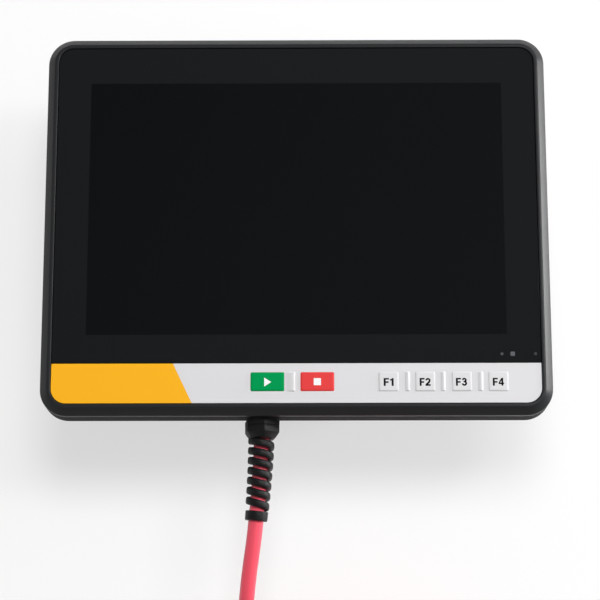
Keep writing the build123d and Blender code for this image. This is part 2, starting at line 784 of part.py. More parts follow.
# Hand strap: one band under both pins, folded round each and stitched back to itself
loop_in_r = pin_r + strap_pin_gap
loop_out_r = loop_in_r + strap_t
strap_z = pin_z - loop_out_r
with BuildPart() as hand_strap:
    with BuildSketch(Plane.YZ) as strap_profile:
        with Locations((0, strap_z + strap_t / 2)):
            Rectangle(2 * bracket_y, strap_t)
        for side in (-1, 1):
            with BuildLine():
                Polyline(
                    (side * bracket_y, strap_z),
                    (side * bracket_y, pin_z + loop_out_r),
                    (side * (bracket_y - loop_out_r), pin_z + loop_out_r / 2),
                    (side * (bracket_y - strap_return), strap_z + strap_t),
                    (side * (bracket_y - strap_return), strap_z),
                    close=True,
                )
            make_face()
        with Locations((bracket_y, pin_z), (-bracket_y, pin_z)):
            Circle(loop_out_r)
        with Locations((bracket_y, pin_z), (-bracket_y, pin_z)):
            Circle(loop_in_r, mode=Mode.SUBTRACT)
    extrude(amount=strap_w / 2, both=True)
save(hand_strap, "hand_strap")

with BuildPart() as strap_pad:
    with BuildSketch(Plane.XY.offset(strap_z + strap_t + fit_gap)):
        RectangleRounded(pad_w, pad_h, pad_r)
    extrude(amount=pad_t)
    fillet(strap_pad.faces().sort_by(Axis.Z)[-1].edges(), pad_t / 3)
save(strap_pad, "strap_pad")

# Enabling switches: a long button through each flank of the hump, and the switch behind it
flank_slope = tan(radians(hump_taper))
flank_x = hump_w / 2 - (back_z - enable_z) * flank_slope
flange_low_z = enable_z - enable_h / 2 - enable_flange
flange_x = hump_w / 2 - wall - (back_z - flange_low_z) * flank_slope - fit_gap
for name, side in (("enable_button_right", 1), ("enable_button_left", -1)):
    with BuildPart() as button:
        with BuildSketch(Plane.YZ.offset(side * flange_x)):
            with Locations((0, enable_z)):
                SlotOverall(enable_len, enable_h)
        extrude(amount=side * (flank_x + enable_proud - flange_x))
        fillet(button.faces().sort_by(Axis.X)[-1 if side > 0 else 0].edges(), enable_crown_r)
        with BuildSketch(Plane.YZ.offset(side * flange_x)):
            with Locations((0, enable_z)):
                SlotOverall(enable_len + 2 * enable_flange, enable_h + 2 * enable_flange)
        extrude(amount=-side * enable_flange_t)
    save(button, name)

switch_x = flange_x - enable_flange_t - enable_travel - switch_gap
for name, side in (("enable_switch_right", 1), ("enable_switch_left", -1)):
    with BuildPart() as switch:
        with BuildSketch(Plane.YZ.offset(side * switch_x)):
            with Locations((0, hump_z + wall + switch_h / 2)):
                RectangleRounded(switch_len, switch_h, switch_r)
        extrude(amount=-side * switch_w)
        with BuildSketch(Plane.YZ.offset(side * switch_x)):
            with Locations((0, hump_z + wall + switch_h / 2)):
                with GridLocations(switch_len / 2, 0, 2, 1):
                    Circle(plunger_r)
        extrude(amount=side * switch_gap / 2)
    save(switch, name)

# Emergency stop, facing out of the back
stop_plane = Plane(origin=(stop_x, stop_y, back_z), x_dir=(1, 0, 0), z_dir=(0, 0, -1))
with BuildPart() as estop_collar:
    with BuildSketch(stop_plane):
        Circle(stop_collar_r)
    extrude(amount=stop_collar_t)
    chamfer(estop_collar.faces().sort_by(Axis.Z)[0].edges(), stop_collar_t / 3)
    with BuildSketch(stop_plane):
        Circle(stop_thread_r)
    extrude(amount=-stop_thread_len)
    with BuildSketch(stop_plane.offset(stop_collar_t)):
        Circle(stop_stem_r + running_clear)
    extrude(amount=-stop_collar_t - stop_thread_len, mode=Mode.SUBTRACT)
save(estop_collar, "estop_collar")

with BuildPart() as estop_nut:
    with BuildSketch(stop_plane.offset(-wall)):
        RegularPolygon(stop_nut_af / 2, 6, major_radius=False)
        Circle(stop_thread_r + running_clear, mode=Mode.SUBTRACT)
    extrude(amount=-stop_nut_t)
save(estop_nut, "estop_nut")

stem_out = stop_collar_t + stop_travel + fit_gap + stop_neck_t
stem_in = stop_thread_len - stop_travel - fit_gap
with BuildPart() as estop_stem:
    with BuildSketch(stop_plane.offset(stem_out)):
        Circle(stop_stem_r)
    extrude(amount=-stem_out - stem_in)
save(estop_stem, "estop_stem")

# Mushroom head: neck, undercut and crowned face, turned about the button's axis
head_start = stop_collar_t + stop_travel + fit_gap
head_end = head_start + stop_neck_t + stop_head_t
stop_side_plane = Plane(origin=stop_plane.origin, x_dir=(1, 0, 0), z_dir=(0, 1, 0))
with BuildPart() as estop_head:
    with BuildSketch(stop_side_plane) as head_profile:
        with BuildLine():
            Polyline(
                (0, head_end),
                (0, stem_out + running_clear),
                (stop_stem_r + running_clear, stem_out + running_clear),
                (stop_stem_r + running_clear, head_start),
                (stop_neck_r, head_start),
                (stop_neck_r + stop_neck_flare, head_start + stop_neck_t * 0.75),
                (stop_head_r, head_start + stop_neck_t),
                (stop_head_r, head_end - stop_crown),
            )
            ThreePointArc(
                (stop_head_r, head_end - stop_crown),
                (stop_head_r * 0.6, head_end - stop_crown * 0.35),
                (stop_flat_r, head_end),
            )
            Line((stop_flat_r, head_end), (0, head_end))
        make_face()
        fillet(head_profile.vertices().group_by(Axis.X)[-1].sort_by(Axis.Y)[-1], stop_edge_r)
    revolve(axis=Axis((stop_x, stop_y, back_z), (0, 0, 1)))
save(estop_head, "estop_head")

stop_block_z = back_z + stop_thread_len
with BuildPart() as estop_contact_block:
    with BuildSketch(Plane.XY.offset(stop_block_z)):
        with Locations(stop_spot):
            RectangleRounded(stop_block_w, stop_block_h, stop_block_r)
    extrude(amount=chassis_under_z - stop_block_z)
save(estop_contact_block, "estop_contact_block")

# Cable gland: body through the wall, seal outside, nut inside, rubber ring and spiral cap
gland_bore_r = cable_d / 2 + cable_clear
with BuildPart() as gland_seal:
    with BuildSketch(gland_plane):
        Circle(gland_seal_r)
        Circle(gland_thread_r + gland_hole_clear, mode=Mode.SUBTRACT)
    extrude(amount=gland_seal_t)
save(gland_seal, "gland_seal")

with BuildPart() as gland_body:
    with BuildSketch(gland_plane.offset(gland_seal_t)):
        RegularPolygon(gland_af / 2, 6, major_radius=False, rotation=30 - gland_turn)
    extrude(amount=gland_flange_t)
    with BuildSketch(gland_plane.offset(gland_seal_t)):
        Circle(gland_thread_r)
    extrude(amount=-gland_seal_t - gland_inside_len)
    with BuildSketch(gland_plane.offset(gland_seal_t + gland_flange_t)):
        Circle(gland_top_r)
    extrude(amount=gland_top_len)
    with BuildSketch(gland_plane.offset(-gland_inside_len)):
        Circle(gland_bore_r)
    extrude(amount=gland_inside_len + gland_seal_t + gland_flange_t + gland_top_len, mode=Mode.SUBTRACT)
    with BuildSketch(gland_plane.offset(gland_seal_t + gland_flange_t)):
        Circle(gland_insert_r)
    extrude(amount=gland_top_len, mode=Mode.SUBTRACT)
save(gland_body, "gland_body")

with BuildPart() as gland_insert:
    with BuildSketch(gland_plane.offset(gland_seal_t + gland_flange_t)):
        Circle(gland_insert_r)
        Circle(gland_bore_r, mode=Mode.SUBTRACT)
    extrude(amount=gland_top_len)
save(gland_insert, "gland_insert")

with BuildPart() as gland_locknut:
    with BuildSketch(gland_plane.offset(-gland_boss_t)):
        RegularPolygon(gland_nut_af / 2, 6, major_radius=False)
        Circle(gland_thread_r + gland_hole_clear, mode=Mode.SUBTRACT)
    extrude(amount=-gland_nut_t)
save(gland_locknut, "gland_locknut")

# Cap nut with its spiral: hexagon, cone, a left-hand helical band that narrows, end collar
cap_start = gland_seal_t + gland_flange_t
cap_hex_end = cap_start + cap_hex_len
cap_end = cap_hex_end + cap_cone_len
spiral_way = Vector(-tan(radians(spiral_lean)), -1, -tan(radians(spiral_dip)))
spiral_plane = Plane(origin=gland_plane.offset(cap_end).origin, z_dir=spiral_way)
spiral_root_plane = spiral_plane.offset(spiral_start_gap)
with BuildPart() as spiral_relief:
    with BuildLine():
        spiral_path = Helix(
            spiral_pitch, spiral_len, spiral_r - spiral_t / 2, center=spiral_root_plane.origin,
            direction=spiral_root_plane.z_dir, cone_angle=-spiral_taper, lefthand=True)
    spiral_start = spiral_path @ 0
    with BuildSketch(Plane(origin=spiral_start, x_dir=spiral_start - spiral_root_plane.origin,
                           z_dir=spiral_path % 0)):
        Rectangle(spiral_t, spiral_band)
    sweep(is_frenet=True)
    split(bisect_by=spiral_plane.offset(spiral_len), keep=Keep.BOTTOM)
    with BuildSketch(spiral_plane.offset(spiral_len)):
        Circle(spiral_collar_r)
        Circle(gland_bore_r, mode=Mode.SUBTRACT)
    extrude(amount=spiral_collar_len)
    with BuildSketch(gland_plane.offset(cap_start)):
        RegularPolygon(gland_af / 2, 6, major_radius=False, rotation=30 - gland_turn)
    extrude(amount=cap_hex_len)
    with BuildSketch(gland_plane.offset(cap_hex_end)):
        RegularPolygon(gland_af / 2, 6, major_radius=False, rotation=30 - gland_turn)
    extrude(amount=cap_cone_len, taper=degrees(atan2(gland_af / 2 - cap_cone_r, cap_cone_len)))
    with BuildSketch(gland_plane.offset(cap_start)):
        Circle(gland_top_r + cap_clear)
    extrude(amount=gland_top_len + cap_clear, mode=Mode.SUBTRACT)
    with BuildSketch(gland_plane.offset(cap_start)):
        Circle(cap_bore_r)
    extrude(amount=cap_end - cap_start, mode=Mode.SUBTRACT)
save(spiral_relief, "spiral_relief")
print("spiral relief", spiral_relief.part.is_valid, round(spiral_relief.part.volume), len(spiral_relief.solids()))


def cable_tube(route, name):
    """A tube along the route: straight runs joined by arcs as large as the runs allow."""
    points = [Vector(*point) for point in route]
    radii = []
    for before, here, after in zip(points, points[1:], points[2:]):
        turn = radians((here - before).get_angle(after - here))
        radii.append(0.45 * min((here - before).length, (after - here).length) / tan(turn / 2))
    with BuildPart() as tube:
        with BuildLine() as path:
            FilletPolyline(*points, radius=radii)
        with BuildSketch(Plane(origin=path.line @ 0, z_dir=path.line % 0)):
            Circle(cable_d / 2)
        sweep()
    length = path.wires()[0].length
    print(name, "length", round(length, 1), "radii", [round(radius) for radius in radii],
          "volume over section times length", round(tube.part.volume / (pi * cable_d**2 / 4 * length), 4))
    return tube


save(cable_tube(cable_route, "cable"), "cable")
save(cable_tube(tail_route, "cable_tail"), "cable_tail")

# Coil: the turns lie in a square bundle round a ring
coil_half = (coil_layers - 1) * coil_pitch / 2 + cable_d / 2 + coil_slack / 2
coil_height = (coil_layers - 1) * coil_pitch + cable_d + coil_slack
coil_edge_r = cable_d / 2
with BuildPart() as cable_coil:
    with BuildSketch(Plane.XY.offset(coil_lift)):
        with Locations((coil_x, coil_y)):
            Circle(coil_mid_r + coil_half)
            Circle(coil_mid_r - coil_half, mode=Mode.SUBTRACT)
    extrude(amount=coil_height)
    fillet(cable_coil.edges().filter_by(GeomType.CIRCLE), coil_edge_r)
save(cable_coil, "cable_coil")

with BuildPart() as coil_ties:
    for angle in tie_angles:
        tie_plane = Plane(
            origin=(coil_x, coil_y, 0), x_dir=Vector(1, 0, 0).rotate(Axis.Z, angle),
            z_dir=Vector(0, -1, 0).rotate(Axis.Z, angle))
        with BuildSketch(tie_plane.offset(-tie_w / 2)):
            with Locations((coil_mid_r, coil_lift + coil_height / 2)):
                RectangleRounded(2 * (coil_half + tie_gap + tie_t), coil_height + 2 * (tie_gap + tie_t),
                                 coil_edge_r + tie_gap + tie_t)
                RectangleRounded(2 * (coil_half + tie_gap), coil_height + 2 * tie_gap,
                                 coil_edge_r + tie_gap, mode=Mode.SUBTRACT)
        extrude(amount=tie_w)
save(coil_ties, "coil_ties")

# Plug, turned about its own axis: grip, shell, coupling ring, insert and contacts
plug_plane = Plane(origin=(plug_start_x, plug_y, plug_z), x_dir=(1, 0, 0), z_dir=(0, -1, 0))
plug_axis = Axis((plug_start_x, plug_y, plug_z), (1, 0, 0))
plug_end_plane = Plane(origin=(plug_start_x, plug_y, plug_z), x_dir=(0, 1, 0), z_dir=(1, 0, 0))
grip_end = shell_cone_len + shell_grip_len
barrel_step = grip_end + barrel_flange_t
ring_start = barrel_step + fit_gap
ring_end = ring_start + ring_len
nose_end = ring_end + nose_len
with BuildPart() as plug_backshell:
    with BuildSketch(plug_plane):
        with BuildLine():
            Polyline(
                (0, 0),
                (0, shell_cone_r),
                (shell_cone_start, shell_cone_r),
                (shell_cone_len, shell_r),
                (grip_end, shell_r),
                (grip_end, 0),
                close=True,
            )
        make_face()
    revolve(axis=plug_axis)
    for number in range(shell_grooves):
        groove_x = shell_cone_len + (number + 1) * shell_grip_len / (shell_grooves + 1)
        with BuildSketch(plug_end_plane.offset(groove_x)):
            Circle(shell_r)
            Circle(shell_r - shell_groove_depth, mode=Mode.SUBTRACT)
        extrude(amount=shell_groove_w, mode=Mode.SUBTRACT)
save(plug_backshell, "plug_backshell")

with BuildPart() as plug_barrel:
    with BuildSketch(plug_plane):
        with BuildLine():
            Polyline(
                (grip_end, 0),
                (grip_end, barrel_r),
                (barrel_step, barrel_r),
                (barrel_step, barrel_neck_r),
                (ring_start + ring_web, barrel_neck_r),
                (ring_start + ring_web + fit_gap, ring_stop_r),
                (ring_start + ring_web + fit_gap + ring_stop_t, ring_stop_r),
                (ring_start + ring_web + fit_gap + ring_stop_t, barrel_neck_r),
                (ring_end, barrel_neck_r),
                (ring_end, nose_r),
                (nose_end, nose_r),
                (nose_end, nose_r - nose_wall),
                (barrel_step, nose_r - nose_wall),
                (barrel_step, 0),
                close=True,
            )
        make_face()
    revolve(axis=plug_axis)
save(plug_barrel, "plug_barrel")

insert_r = nose_r - nose_wall - running_clear
insert_end = nose_end - insert_recess
with BuildPart() as plug_insert:
    with BuildSketch(plug_end_plane.offset(barrel_step)):
        Circle(insert_r)
    extrude(amount=insert_end - barrel_step)
save(plug_insert, "plug_insert")

with BuildPart() as plug_contacts:
    with BuildSketch(plug_end_plane.offset(insert_end)):
        with PolarLocations(contact_circle_r, contact_count):
            Circle(contact_r)
    extrude(amount=contact_len)
save(plug_contacts, "plug_contacts")

with BuildPart() as plug_ring:
    with BuildSketch(plug_end_plane.offset(ring_start)):
        Circle(ring_r)
        with PolarLocations(ring_r + ring_groove_r * 0.5, ring_grooves):
            Circle(ring_groove_r, mode=Mode.SUBTRACT)
    extrude(amount=ring_len)
    with BuildSketch(plug_end_plane.offset(ring_start)):
        Circle(barrel_neck_r + running_clear)
    extrude(amount=ring_web, mode=Mode.SUBTRACT)
    with BuildSketch(plug_end_plane.offset(ring_start + ring_web)):
        Circle(ring_r - ring_wall)
    extrude(amount=ring_len - ring_web, mode=Mode.SUBTRACT)
save(plug_ring, "plug_coupling_ring")
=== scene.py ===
import json
import math
from contextlib import contextmanager
import bmesh
import bpy
import numpy as np
from mathutils import Matrix, Vector


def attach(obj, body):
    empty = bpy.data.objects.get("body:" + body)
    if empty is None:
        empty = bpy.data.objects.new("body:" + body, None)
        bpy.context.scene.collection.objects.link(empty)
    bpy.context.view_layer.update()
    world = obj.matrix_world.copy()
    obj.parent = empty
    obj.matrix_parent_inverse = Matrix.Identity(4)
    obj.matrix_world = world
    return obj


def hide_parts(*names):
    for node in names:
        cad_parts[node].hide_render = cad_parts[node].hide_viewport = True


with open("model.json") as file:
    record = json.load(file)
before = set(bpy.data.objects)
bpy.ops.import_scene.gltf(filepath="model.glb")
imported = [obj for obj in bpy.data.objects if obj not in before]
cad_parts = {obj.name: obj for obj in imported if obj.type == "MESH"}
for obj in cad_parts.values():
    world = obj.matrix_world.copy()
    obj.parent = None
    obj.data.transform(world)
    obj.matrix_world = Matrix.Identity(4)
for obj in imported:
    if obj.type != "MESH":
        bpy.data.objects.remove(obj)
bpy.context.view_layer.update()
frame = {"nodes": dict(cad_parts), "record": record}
mm = 0.001

cameraView = {
    "place": (0.0081688, -0.2835003, 1.1201250),
    "lens": 121.089,
    "sensor": 36.0,
    "tiltX": -13.1399,  # degrees, table to picture
    "turnY": -0.3413,
    "rollZ": 0.0561,
}


def addObject(name, data):
    holder = bpy.data.objects.new(name, data)
    bpy.context.collection.objects.link(holder)
    return holder


def makeCamera(view):
    data = bpy.data.cameras.new("photoCamera")
    data.lens = view["lens"]
    data.sensor_width = view["sensor"]
    data.sensor_fit = "HORIZONTAL"
    data.clip_start = 0.05
    camera = addObject("photoCamera", data)
    turn = (Matrix.Rotation(math.radians(view["rollZ"]), 3, "Z")
            @ Matrix.Rotation(math.radians(view["tiltX"]), 3, "X")
            @ Matrix.Rotation(math.radians(view["turnY"]), 3, "Y"))
    camera.matrix_world = Matrix.Translation(view["place"]) @ turn.transposed().to_4x4()
    bpy.context.scene.camera = camera


makeCamera(cameraView)
print("camera placed")


# Shader helpers: a node with its inputs, a math node, a mix of two colours, a group
def node(tree, kind, inputs=None, **settings):
    made = tree.nodes.new("ShaderNode" + kind)
    for key, value in settings.items():
        setattr(made, key, value)
    for key, value in (inputs or {}).items():
        if isinstance(value, bpy.types.NodeSocket):
            tree.links.new(value, made.inputs[key])
        else:
            made.inputs[key].default_value = value
    return made


def calc(tree, operation, first, second=0.0, third=0.0, clamp=False):
    return node(tree, "Math", {0: first, 1: second, 2: third}, operation=operation,
                use_clamp=clamp).outputs[0]


def mixTone(tree, mask, first, second):
    return node(tree, "Mix", {0: mask, 6: first, 7: second}, data_type="RGBA", clamp_factor=True).outputs[2]


def linear(red, green, blue):
    # screen colour v of 0 to 255: v / 12.92 in the dark, ((v + 0.055) / 1.055) ** 2.4 above
    parts = [v / 255 for v in (red, green, blue)]
    return tuple([v / 12.92 if v < 0.04045 else ((v + 0.055) / 1.055) ** 2.4 for v in parts] + [1.0])


def makeGroup(name, inputs, outputs):
    group = bpy.data.node_groups.new(name, "ShaderNodeTree")
    for label, kind, value in inputs:
        socket = group.interface.new_socket(name=label, in_out="INPUT", socket_type="NodeSocket" + kind)
        if value is not None:
            socket.default_value = value
    for label, kind in outputs:
        group.interface.new_socket(name=label, in_out="OUTPUT", socket_type="NodeSocket" + kind)
    return group, group.nodes.new("NodeGroupInput").outputs, group.nodes.new("NodeGroupOutput").inputs


def useGroup(tree, group, inputs):
    return node(tree, "Group", inputs, node_tree=group).outputs


# Moulded grain: height = distance to the nearest cell + fine * noise
grainGroup, gIn, gOut = makeGroup(
    "mouldGrain",
    [("Vector", "Vector", None), ("Grain", "Float", 2000.0), ("Fine", "Float", 0.4)],
    [("Height", "Float"), ("Deep", "Float")])
cells = node(grainGroup, "TexVoronoi", {"Vector": gIn["Vector"], "Scale": gIn["Grain"]}, feature="SMOOTH_F1")
fine = node(grainGroup, "TexNoise", {"Vector": gIn["Vector"], "Detail": 3.0,
                                     "Scale": calc(grainGroup, "MULTIPLY", gIn["Grain"], 1.7)})
grainGroup.links.new(calc(grainGroup, "ADD", cells.outputs["Distance"],
                          calc(grainGroup, "MULTIPLY", fine.outputs[0], gIn["Fine"])), gOut["Height"])
grainGroup.links.new(calc(grainGroup, "SUBTRACT", 1.0, cells.outputs["Distance"], clamp=True), gOut["Deep"])

# Slow drift of a colour: colour * (1 + amount * (noise - 0.5))
driftGroup, gIn, gOut = makeGroup(
    "toneDrift",
    [("Vector", "Vector", None), ("Color", "Color", None), ("Amount", "Float", 0.06),
     ("Scale", "Float", 18.0)],
    [("Color", "Color")])
drift = node(driftGroup, "TexNoise", {"Vector": gIn["Vector"], "Scale": gIn["Scale"], "Detail": 4.0,
                                      "Roughness": 0.55})
factor = calc(driftGroup, "MULTIPLY_ADD", calc(driftGroup, "SUBTRACT", drift.outputs[0], 0.5),
              gIn["Amount"], 1.0)
scaled = node(driftGroup, "VectorMath", {0: gIn["Color"]}, operation="SCALE")
driftGroup.links.new(factor, scaled.inputs["Scale"])
driftGroup.links.new(scaled.outputs[0], gOut["Color"])

# Handling: roughness = base + amount * (noise - 0.5)
rubGroup, gIn, gOut = makeGroup(
    "handled",
    [("Vector", "Vector", None), ("Base", "Float", 0.4), ("Amount", "Float", 0.1), ("Scale", "Float", 30.0)],
    [("Roughness", "Float")])
rub = node(rubGroup, "TexNoise", {"Vector": gIn["Vector"], "Scale": gIn["Scale"], "Detail": 5.0,
                                  "Distortion": 0.6})
rubGroup.links.new(calc(rubGroup, "MULTIPLY_ADD", calc(rubGroup, "SUBTRACT", rub.outputs[0], 0.5),
                        gIn["Amount"], gIn["Base"], clamp=True), gOut["Roughness"])

# Plain weave on UV in metres: height = |sin(pi u)| * |sin(pi v)|, raised on every second crossing; its low
# places give a mask for painted shade
weaveGroup, gIn, gOut = makeGroup(
    "plainWeave",
    [("Vector", "Vector", None), ("Pitch", "Float", 0.001), ("Rib", "Float", 1.0)],
    [("Height", "Float"), ("GapShade", "Float")])
apart = node(weaveGroup, "SeparateXYZ", {0: gIn["Vector"]})
across = calc(weaveGroup, "DIVIDE", apart.outputs[0], gIn["Pitch"])
along = calc(weaveGroup, "DIVIDE", apart.outputs[1], calc(weaveGroup, "MULTIPLY", gIn["Pitch"], gIn["Rib"]))
waveA = calc(weaveGroup, "ABSOLUTE", calc(weaveGroup, "SINE", calc(weaveGroup, "MULTIPLY", across, math.pi)))
waveB = calc(weaveGroup, "ABSOLUTE", calc(weaveGroup, "SINE", calc(weaveGroup, "MULTIPLY", along, math.pi)))
sign = calc(weaveGroup, "COSINE", calc(
    weaveGroup, "MULTIPLY", calc(weaveGroup, "ADD", calc(weaveGroup, "FLOOR", across),
                                 calc(weaveGroup, "FLOOR", along)), math.pi))
mound = calc(weaveGroup, "MULTIPLY", waveA, waveB)
weaveGroup.links.new(calc(weaveGroup, "MULTIPLY_ADD", sign, 0.18, mound), gOut["Height"])
weaveGroup.links.new(calc(weaveGroup, "SUBTRACT", 1.0, calc(weaveGroup, "POWER", mound, 0.5), clamp=True),
                     gOut["GapShade"])
print("shader groups made")

finishes = {  # colour, roughness, metallic, grain size in mm, grain depth in mm, tone drift, rub, coat
    "bezel_plastic": dict(color=linear(33, 34, 36), rough=0.36, grain=0.35, depth=0.006, drift=0.10, rub=0.08,
                          specular=0.38),
    "housing_plastic": dict(color=linear(33, 34, 36), rough=0.7, grain=0.7, depth=0.03, drift=0.12, rub=0.12,
                            specular=0.18),
    "key_green": dict(color=linear(0, 151, 81), rough=0.5, grain=0.3, depth=0.003, drift=0.04, rub=0.08,
                      specular=0.06),
    "key_red": dict(color=linear(230, 66, 66), rough=0.5, grain=0.3, depth=0.003, drift=0.04, rub=0.08,
                    specular=0.2),
    "legend_black": dict(color=linear(6, 6, 7), rough=0.6, grain=0.3, depth=0.002, drift=0.05, rub=0.05,
                         specular=0.1),
    "symbol_white": dict(color=linear(250, 250, 250), rough=0.5, grain=0.3, depth=0.002, drift=0.03,
                         rub=0.05),
    "rubber_black": dict(color=linear(27, 27, 28), rough=0.72, grain=0.5, depth=0.02, drift=0.15, rub=0.1),
    "display": dict(color=linear(22, 24, 27), rough=0.25, grain=0.3, depth=0.002, drift=0.05, rub=0.05),
    "steel": dict(color=linear(186, 187, 189), rough=0.33, metallic=1.0, grain=0.4, depth=0.006, drift=0.1,
                  rub=0.15),
    "aluminium_plate": dict(color=linear(206, 208, 210), rough=0.42, metallic=1.0, grain=0.6, depth=0.01,
                            drift=0.08, rub=0.15),
    "circuit_board": dict(color=linear(22, 92, 54), rough=0.35, grain=0.6, depth=0.01, drift=0.15, rub=0.1,
                          coat=0.3),
    "socket_plastic": dict(color=linear(222, 216, 196), rough=0.5, grain=0.4, depth=0.01, drift=0.06,
                           rub=0.1),
    "brass_gold": dict(color=linear(226, 188, 110), rough=0.28, metallic=1.0, grain=0.3, depth=0.003,
                       drift=0.1, rub=0.1),
    "enable_grey": dict(color=linear(92, 94, 98), rough=0.62, grain=0.5, depth=0.015, drift=0.08, rub=0.1),
    "stop_red": dict(color=linear(196, 24, 26), rough=0.3, grain=0.4, depth=0.004, drift=0.06, rub=0.12,
                     coat=0.3),
    "stop_yellow": dict(color=linear(240, 196, 28), rough=0.4, grain=0.4, depth=0.008, drift=0.05, rub=0.1),
    "gland_nylon": dict(color=linear(15, 15, 17), rough=0.42, grain=0.42, depth=0.08, drift=0.15, rub=0.12,
                        specular=0.4),
    "spiral_nylon": dict(color=linear(7, 7, 8), rough=0.26, grain=0.4, depth=0.015, drift=0.15, rub=0.1,
                         specular=0.4),
    "cable_red": dict(color=linear(247, 86, 105), rough=0.33, grain=0.5, depth=0.006, drift=0.05, rub=0.10),
    "tie_black": dict(color=linear(26, 26, 28), rough=0.85, grain=0.5, depth=0.05, drift=0.2, rub=0.05),
    "plug_metal": dict(color=linear(196, 197, 200), rough=0.28, metallic=1.0, grain=0.3, depth=0.003,
                       drift=0.08, rub=0.14),
    "dome_steel": dict(color=linear(200, 200, 202), rough=0.25, metallic=1.0, grain=0.4, depth=0.003,
                       drift=0.05, rub=0.1),
    "clear_plastic": dict(color=linear(225, 228, 232), rough=0.15, grain=0.4, depth=0.003, drift=0.03,
                          rub=0.05),
    "thread_grey": dict(color=linear(150, 151, 155), rough=0.8, grain=0.3, depth=0.03, drift=0.2, rub=0.05),
}
materials = {}


def startMaterial(name, roughness=0.5, metallic=0.0, coat=0.0, specular=0.5):
    material = bpy.data.materials.new(name)
    material.use_nodes = True
    tree = material.node_tree
    shader = tree.nodes["Principled BSDF"]
    shader.inputs["Roughness"].default_value = roughness
    shader.inputs["Metallic"].default_value = metallic
    shader.inputs["Coat Weight"].default_value = coat
    shader.inputs["Coat Roughness"].default_value = 0.12
    shader.inputs["Specular IOR Level"].default_value = specular
    place = node(tree, "TexCoord").outputs["Object"]
    return material, tree, shader, place


def addBump(tree, shader, height, distance, strength=1.0):
    bump = node(tree, "Bump", {"Height": height, "Distance": distance, "Strength": strength})
    tree.links.new(bump.outputs[0], shader.inputs["Normal"])


def dressSurface(tree, shader, place, color, look):
    # base colour with slow drift, roughness that wanders, and a moulded or cast grain as a bump
    tone = useGroup(tree, driftGroup, {"Vector": place, "Color": color, "Amount": look["drift"],
                                       "Scale": look.get("driftScale", 18.0)})
    tree.links.new(tone["Color"], shader.inputs["Base Color"])
    rubbed = useGroup(tree, rubGroup, {"Vector": place, "Base": look["rough"], "Amount": look["rub"],
                                       "Scale": look.get("rubScale", 30.0)})
    tree.links.new(rubbed["Roughness"], shader.inputs["Roughness"])
    grain = useGroup(tree, grainGroup, {"Vector": place, "Grain": 1.0 / (look["grain"] * mm)})
    addBump(tree, shader, grain["Height"], look["depth"] * mm)


def plainFinish(name, look):
    material, tree, shader, place = startMaterial(name, look["rough"], look.get("metallic", 0.0),
                                                  look.get("coat", 0.0), look.get("specular", 0.5))
    dressSurface(tree, shader, place, look["color"], look)
    materials[name] = material


for finishName, finishLook in finishes.items():
    plainFinish(finishName, finishLook)

overlayPrint = {
    "grey": linear(222, 221, 223), "orange": linear(255, 183, 28),
    "topX": -64.4, "topY": -76.1, "bottomX": -54.1, "bottomY": -97.6,  # mm, slanted end of the orange field
    "rough": 0.42, "grain": 0.28, "depth": 0.003, "drift": 0.04, "driftScale": 26.0, "rub": 0.1,
    "sharpness": 12000.0,
}


def makeOverlayFinish(look):
    # orange where x < edge, edge = topX + slope * (topY - y), else light grey
    material, tree, shader, place = startMaterial("overlay_film", look["rough"], specular=0.3)
    spot = node(tree, "SeparateXYZ", {0: place})
    slope = (look["bottomX"] - look["topX"]) / (look["topY"] - look["bottomY"])
    edgeX = calc(tree, "MULTIPLY_ADD", calc(tree, "SUBTRACT", look["topY"] * mm, spot.outputs[1]), slope,
                 look["topX"] * mm)
    inside = calc(tree, "SUBTRACT", edgeX, spot.outputs[0])
    mask = calc(tree, "MULTIPLY", inside, look["sharpness"], clamp=True)
    dressSurface(tree, shader, place, mixTone(tree, mask, look["grey"], look["orange"]), look)
    materials["overlay_film"] = material
    materials["key_grey"] = material


glassPrint = {
    # painted reflection on the window: its lighter tone and the slope that spreads it towards the lower right
    "border": linear(24, 26, 28), "windowDark": linear(11, 13, 15), "windowSheen": linear(16, 18, 20),
    "halfW": 110.35, "halfH": 69.31, "y": 8.28,  # mm, window in the black print
    "rough": 0.1, "specular": 0.1, "grain": 0.2, "depth": 0.0004, "drift": 0.06, "driftScale": 9.0,
    "rub": 0.05, "rubScale": 22.0, "sharpness": -8000.0, "paintedSheen": 2.4,
}


def makeGlassFinish(look):
    # window where max(|x| - halfW, |y - middle| - halfH) < 0, and in it a painted sheen that makes it lighter
    # with x - y
    material, tree, shader, place = startMaterial("glass_black", look["rough"], specular=look["specular"])
    spot = node(tree, "SeparateXYZ", {0: place})
    outX = calc(tree, "SUBTRACT", calc(tree, "ABSOLUTE", spot.outputs[0]), look["halfW"] * mm)
    fromMiddle = calc(tree, "ABSOLUTE", calc(tree, "SUBTRACT", spot.outputs[1], look["y"] * mm))
    outY = calc(tree, "SUBTRACT", fromMiddle, look["halfH"] * mm)
    inside = calc(tree, "MULTIPLY", calc(tree, "MAXIMUM", outX, outY), look["sharpness"], clamp=True)
    # painted reflection: the dark window grows lighter towards the lower right
    slant = calc(tree, "SUBTRACT", spot.outputs[0], spot.outputs[1])
    paintedSheen = calc(tree, "MULTIPLY_ADD", slant, look["paintedSheen"], 0.5, clamp=True)
    window = mixTone(tree, paintedSheen, look["windowDark"], look["windowSheen"])
    dressSurface(tree, shader, place, mixTone(tree, inside, look["border"], window), look)
    materials["glass_black"] = material


